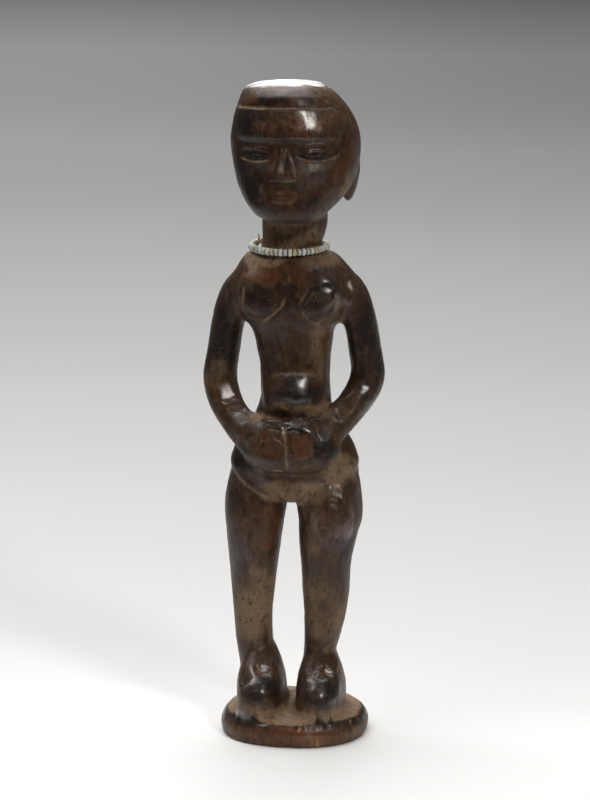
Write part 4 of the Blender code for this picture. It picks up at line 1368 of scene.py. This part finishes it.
@dataclass
class BeadStrand:
    """The loop of beads, its thread and its knot."""

    glasses: dict[str, SeedBeadGlass]
    fibre: ThreadFibre
    count: int = 50
    radius: float = 15.0
    centre: Point3 = (-2.2, -1.0, 202.2)
    tilt: float = 2.0
    knot_angle: float = 153.0
    knot_gap: float = 1.3
    thread: float = 0.5
    bead: BeadSize = BeadSize()

    def build(self, frame: dict) -> None:
        """Makes every piece of the strand in the place of its CAD node."""
        materials = {slot: glass.material() for slot, glass in self.glasses.items()}
        pattern = self.make_bead()
        order = ("white_glass", "grey_green_glass", "white_glass", "cream_glass", "grey_green_glass")
        chance = np.random.default_rng(12)
        for index in range(self.count):
            slot = order[index % len(order)]
            self.place_bead(pattern, index, materials[slot], chance)
        bpy.data.objects.remove(pattern)
        fibre = self.fibre.material()
        knot = self.make_knot(fibre)
        self.make_thread(fibre)
        LOG.info("strand: %d beads, a thread and a knot", self.count)

    @property
    def loop(self) -> Matrix:
        """The loop's own frame, in millimetres."""
        return Matrix.Translation(self.centre) @ Matrix.Rotation(math.radians(self.tilt), 4, "X")

    @property
    def start(self) -> float:
        """The angle at which the beads start, on one side of the knot."""
        return math.radians(self.knot_angle) + self.knot_gap / self.radius

    @property
    def sweep(self) -> float:
        """The angle that the beads fill, from one side of the knot round to the other."""
        return 2 * math.pi - 2 * (self.knot_gap / self.radius)

    def make_bead(self) -> bpy.types.Object:
        """Returns one bead at the origin, with its hole along Y."""
        size = self.bead
        deselect_all()
        bpy.ops.mesh.primitive_cylinder_add(
            vertices=size.sides,
            radius=size.diameter / 2 * MM,
            depth=size.length * MM,
            rotation=(math.pi / 2, 0, 0),
        )
        bead = bpy.context.object
        bpy.ops.object.transform_apply(rotation=True)
        bead.name = "bead_pattern"
        bpy.ops.object.mode_set(mode="EDIT")
        bpy.ops.mesh.select_all(action="DESELECT")
        bpy.ops.object.mode_set(mode="OBJECT")
        for face in bead.data.polygons:
            face.select = abs(face.normal.y) > 0.9
        bpy.ops.object.mode_set(mode="EDIT")
        bpy.ops.mesh.inset(thickness=(size.diameter - size.hole) / 2 * MM, use_individual=True)
        bpy.ops.mesh.bridge_edge_loops()
        bpy.ops.object.mode_set(mode="OBJECT")
        self.select_outer_rims(bead)
        bpy.ops.object.mode_set(mode="EDIT")
        bpy.ops.mesh.select_mode(type="EDGE")
        bpy.ops.object.mode_set(mode="OBJECT")
        self.select_outer_rims(bead)
        bpy.ops.object.mode_set(mode="EDIT")
        bpy.ops.mesh.bevel(offset=size.rounding * MM, segments=5, profile=0.5)
        bpy.ops.object.mode_set(mode="OBJECT")
        bpy.ops.object.shade_smooth_by_angle(angle=math.radians(50))
        co = np.array([v.co for v in bead.data.vertices]) / MM
        outer = np.hypot(co[:, 0], co[:, 2]) / (size.diameter / 2)
        grime = np.clip(1.0 - (outer - 0.35) / 0.45, 0.0, 1.0) * 0.8
        attribute = bead.data.attributes.new("grime", "FLOAT", "POINT")
        attribute.data.foreach_set("value", grime.astype(np.float32))
        return bead

    def select_outer_rims(self, bead: bpy.types.Object) -> None:
        """Selects the edges round the outside of the bead's two ends, as flags on the edges alone."""
        rim = self.bead.diameter / 2 * MM * 0.98
        for edge in bead.data.edges:
            ends = [bead.data.vertices[i].co for i in edge.vertices]
            flat = abs(ends[0].y - ends[1].y) < 1e-6
            edge.select = flat and all(math.hypot(end.x, end.z) > rim for end in ends)

    def place_bead(
        self,
        pattern: bpy.types.Object,
        index: int,
        material: bpy.types.Material,
        chance: np.random.Generator,
    ) -> None:
        """Copies the bead to its place on the loop, with a small change of its size.

        Args:
            pattern: the bead at the origin.
            index: its number from the knot, from 0.
            material: its glass.
            chance: where the change of size comes from.
        """
        node = f"bead_{index + 1:02d}"
        bead = copy_object(pattern, f"glass_{node}")
        turn = self.start + self.sweep * (index + 0.5) / self.count
        across = chance.uniform(0.94, 1.03)
        along = chance.uniform(0.86, 1.05)
        size = Matrix.Diagonal((across, along, across, 1.0))
        spin = Matrix.Rotation(chance.uniform(0.0, math.tau), 4, "Y")
        lean = Matrix.Rotation(chance.uniform(-0.05, 0.05), 4, "X")
        lean = lean @ Matrix.Rotation(chance.uniform(-0.05, 0.05), 4, "Z")
        place = self.loop @ Matrix.Rotation(turn, 4, "Z") @ Matrix.Translation((self.radius, 0.0, 0.0))
        bead.data.transform(spin @ size)
        bead.data.transform(Matrix.Scale(1 / MM, 4))
        bead.data.transform(place @ lean)
        bead.data.transform(Matrix.Scale(MM, 4))
        bead.data.materials.clear()
        bead.data.materials.append(material)
        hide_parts(node)
        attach(bead, node)

    def on_loop(self, angle: float) -> Vector:
        """Returns the point of the thread's line at this angle, in millimetres."""
        return self.loop @ Vector((self.radius * math.cos(angle), self.radius * math.sin(angle), 0.0))

    @staticmethod
    def make_tube(
        name: str, runs: list[list[Vector]], thickness: float, material: bpy.types.Material
    ) -> bpy.types.Object:
        """Returns a curve object with a round thread along each run.

        Args:
            name: the object's name.
            runs: the points of each run, in millimetres.
            thickness: the thread's diameter, in millimetres.
            material: its finish.
        """
        curve = bpy.data.curves.new(name, "CURVE")
        curve.dimensions = "3D"
        curve.bevel_depth = thickness / 2 * MM
        curve.bevel_resolution = 3
        curve.use_fill_caps = True
        for run in runs:
            spline = curve.splines.new("POLY")
            spline.points.add(len(run) - 1)
            for point, place in zip(spline.points, run):
                point.co = (*(place * MM), 1.0)
        obj = bpy.data.objects.new(name, curve)
        bpy.context.scene.collection.objects.link(obj)
        curve.materials.append(material)
        return obj

    def make_thread(self, material: bpy.types.Material) -> None:
        """Makes the thread as one open run from one side of the knot to the other."""
        run = [self.on_loop(self.start + self.sweep * share) for share in np.linspace(0.0, 1.0, 160)]
        thread = self.make_tube("strand_thread", [run], self.thread, material)
        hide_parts("neck_thread")
        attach(thread, "strand")

    def make_knot(self, material: bpy.types.Material) -> bpy.types.Object:
        """Returns the overhand knot, with its cut ends standing up."""
        angle = math.radians(self.knot_angle)
        place = self.loop @ Matrix.Rotation(angle, 4, "Z") @ Matrix.Translation((self.radius, 0.0, 0.0))
        turns = np.linspace(0.0, 2 * math.pi, 60)
        loops = [
            Vector(
                (
                    0.27 * (math.sin(t) + 2 * math.sin(2 * t)),
                    0.27 * (math.cos(t) - 2 * math.cos(2 * t)),
                    -0.42 * math.sin(3 * t),
                )
            )
            for t in turns
        ]
        links = [
            smooth_path(np.array([[0.0, -1.3, 0.0], [0.1, -0.8, 0.1], [0.3, -0.3, 0.2]]), 0.1),
            smooth_path(np.array([[0.0, 1.3, 0.0], [-0.1, 0.8, -0.1], [-0.2, 0.3, 0.1]]), 0.1),
        ]
        tails = [
            smooth_path(
                np.array([[0.0, 0.2, 0.3], [0.1, 0.3, 1.2], [-0.1, 0.15, 2.2], [0.15, 0.3, 3.3]]), 0.12
            ),
            smooth_path(np.array([[0.1, -0.3, 0.3], [0.4, -0.6, 1.0], [0.35, -0.9, 1.9]]), 0.12),
        ]
        runs = [[place @ p for p in loops]]
        runs += [[place @ Vector(p) for p in run] for run in (*links, *tails)]
        knot = self.make_tube("strand_knot", runs, self.thread * 0.96, material)
        make_active(knot)
        bpy.ops.object.convert(target="MESH")
        knot = bpy.context.object
        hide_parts("thread_knot")
        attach(knot, "strand")
        return knot


# ---------------------------------------------------------------- the studio


@dataclass(frozen=True)
class Softbox:
    """A rectangular studio light, in metres and watts."""

    name: str
    place: Point3
    aim: Point3
    width: float
    height: float
    power: float
    tint: Colour = (1.0, 1.0, 1.0)

    def build(self) -> None:
        """Hangs the light and aims it."""
        light = bpy.data.lights.new(self.name, "AREA")
        light.shape = "RECTANGLE"
        light.size = self.width
        light.size_y = self.height
        light.energy = self.power
        light.color = self.tint
        obj = bpy.data.objects.new(self.name, light)
        bpy.context.scene.collection.objects.link(obj)
        obj.location = self.place
        obj.rotation_euler = (Vector(self.aim) - Vector(self.place)).to_track_quat("-Z", "Y").to_euler()


@dataclass(frozen=True)
class Sweep:
    """The paper sweep: a flat floor that turns up far behind the doll, with painted shade from white in front
    to grey behind.

    Paper is the painted shade and glow the painted light that the floor gives off; they give the grey at each
    distance behind the doll, in metres. Fall is how the painted glow changes from left to right, across a
    line that turns by fall_turn.
    """

    near: float = -0.24
    far: float = 6.0
    radius: float = 1.5
    height: float = 2.0
    half_width: float = 3.5
    near_half_width: float = 0.24
    fall: Point2 = (1.22, 0.8)
    fall_turn: float = 0.158
    fall_reach: float = 0.45
    # Painted shade: the paper's grey at each distance behind the doll, darker behind where less light falls.
    paper: tuple[Point2, ...] = (
        (0.0, 0.73),
        (0.05, 0.64),
        (0.12, 0.572),
        (0.29, 0.502),
        (0.52, 0.44),
        (0.9, 0.388),
        (1.6, 0.3),
        (2.4, 0.2),
        (4.5, 0.1),
    )
    # Painted light: what the paper gives off at each distance, a glow though it is no lamp.
    glow: tuple[Point2, ...] = (
        (0.0, 0.03),
        (0.1, 0.0),
        (0.83, 0.005),
        (1.27, 0.09),
        (1.96, 0.186),
        (3.1, 0.178),
        (4.5, 0.04),
    )

    def build(self) -> None:
        """Makes the sweep and its paper, with painted shade and a painted glow."""
        deselect_all()
        bpy.ops.mesh.primitive_plane_add(size=1.0, location=(0.0, (self.near + self.far) / 2, 0.0))
        floor = bpy.context.object
        floor.name = "paper_sweep"
        floor.scale = (self.half_width * 2, self.far - self.near, 1.0)
        bpy.ops.object.transform_apply(location=True, scale=True)
        for vertex in floor.data.vertices:
            if vertex.co.y < self.near + 1e-5:
                vertex.co.x = math.copysign(self.near_half_width, vertex.co.x)
        for edge in floor.data.edges:
            ends = [floor.data.vertices[i].co for i in edge.vertices]
            edge.select = all(abs(end.y - self.far) < 1e-5 for end in ends)
        for vertex in floor.data.vertices:
            vertex.select = abs(vertex.co.y - self.far) < 1e-5
        for face in floor.data.polygons:
            face.select = False
        bpy.ops.object.mode_set(mode="EDIT")
        bpy.ops.mesh.select_mode(type="EDGE")
        bpy.ops.mesh.spin(
            steps=24, angle=-math.pi / 2, center=(0.0, self.far, self.radius), axis=(1.0, 0.0, 0.0)
        )
        bpy.ops.mesh.extrude_region_move(TRANSFORM_OT_translate={"value": (0.0, 0.0, self.height)})
        bpy.ops.object.mode_set(mode="OBJECT")
        bpy.ops.object.shade_smooth()
        material = bpy.data.materials.new("sweep_painted_light")
        material.use_nodes = True
        sheet = NodeSheet(material.node_tree)
        shader = material.node_tree.nodes["Principled BSDF"]
        axes = sheet.add("ShaderNodeSeparateXYZ")
        sheet.feed(axes.inputs[0], sheet.place())
        along = axes.outputs["Y"]
        # Painted shade: the paper darkens with distance behind the doll.
        sheet.feed(shader.inputs["Base Color"], sheet.ramp(along, self.paper))
        # Painted light: the paper glows, more towards the back, and changes from left to right.
        painted_glow_channels = sheet.add("ShaderNodeSeparateColor")
        sheet.feed(painted_glow_channels.inputs[0], sheet.ramp(along, self.glow))
        aside = sheet.math("MULTIPLY_ADD", along, self.fall_turn, axes.outputs["X"])
        fall = sheet.span(aside, -self.fall_reach, self.fall_reach, self.fall)
        level = sheet.math("MULTIPLY", painted_glow_channels.outputs[0], fall)
        sheet.feed(shader.inputs["Emission Color"], sheet.even_grey(level))
        shader.inputs["Emission Strength"].default_value = 1.0
        shader.inputs["Roughness"].default_value = 0.9
        shader.inputs["Specular IOR Level"].default_value = 0.1
        floor.data.materials.append(material)


@dataclass(frozen=True)
class Camera:
    """The camera, in metres and degrees."""

    place: Point3 = (0.1837, -1.1595, 0.383)
    pitch: float = 11.75
    azimuth: float = 9.0
    lens: float = 133.0

    def build(self) -> None:
        """Sets the camera up and makes it the scene's."""
        data = bpy.data.cameras.new("camera")
        data.lens = self.lens
        data.clip_start = 0.05
        data.clip_end = 30.0
        obj = bpy.data.objects.new("camera", data)
        obj.location = self.place
        obj.rotation_euler = (math.radians(90.0 - self.pitch), 0.0, math.radians(self.azimuth))
        bpy.context.scene.collection.objects.link(obj)
        bpy.context.scene.camera = obj


class Studio:
    """The sweep, the lights and the camera."""

    LIGHTS = (
        Softbox("overhead", (-0.32, 0.35, 1.45), (-0.1, 0.05, 0.1), 1.7, 1.4, 38.5, (1.0, 0.992, 0.98)),
        Softbox("back panel", (-1.1, 5.6, 1.62), (0.0, 0.0, 0.25), 2.0, 2.6, 42.0),
        Softbox("key", (0.82, -0.88, 1.1), (0.0, 0.0, 0.17), 0.22, 0.24, 8.0, (1.0, 0.97, 0.93)),
    )

    def build(self) -> None:
        """Sets up the studio."""
        Sweep().build()
        for light in self.LIGHTS:
            light.build()
        world = bpy.data.worlds.new("room")
        bpy.context.scene.world = world
        world.use_nodes = True
        background = world.node_tree.nodes["Background"]
        background.inputs["Color"].default_value = (1.0, 0.98, 0.96, 1.0)
        background.inputs["Strength"].default_value = 0.09
        Camera().build()
        bpy.context.scene.view_settings.view_transform = "Standard"
        LOG.info("studio: %d lights", len(self.LIGHTS))


# ---------------------------------------------------------------- the scene


def main() -> None:
    """Builds every piece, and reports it."""
    logging.basicConfig(level=logging.INFO, format="%(message)s")
    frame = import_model()
    Studio().build()
    Carving(PatinatedWood()).build(frame["nodes"]["figure"])
    glasses = {
        "white_glass": SeedBeadGlass("white_bead_glass", (0.8, 0.82, 0.77)),
        "grey_green_glass": SeedBeadGlass("grey_green_bead_glass", (0.58, 0.66, 0.6)),
        "cream_glass": SeedBeadGlass("cream_bead_glass", (0.66, 0.55, 0.36)),
    }
    BeadStrand(glasses, ThreadFibre()).build(frame)


if __name__ == "__main__":
    main()
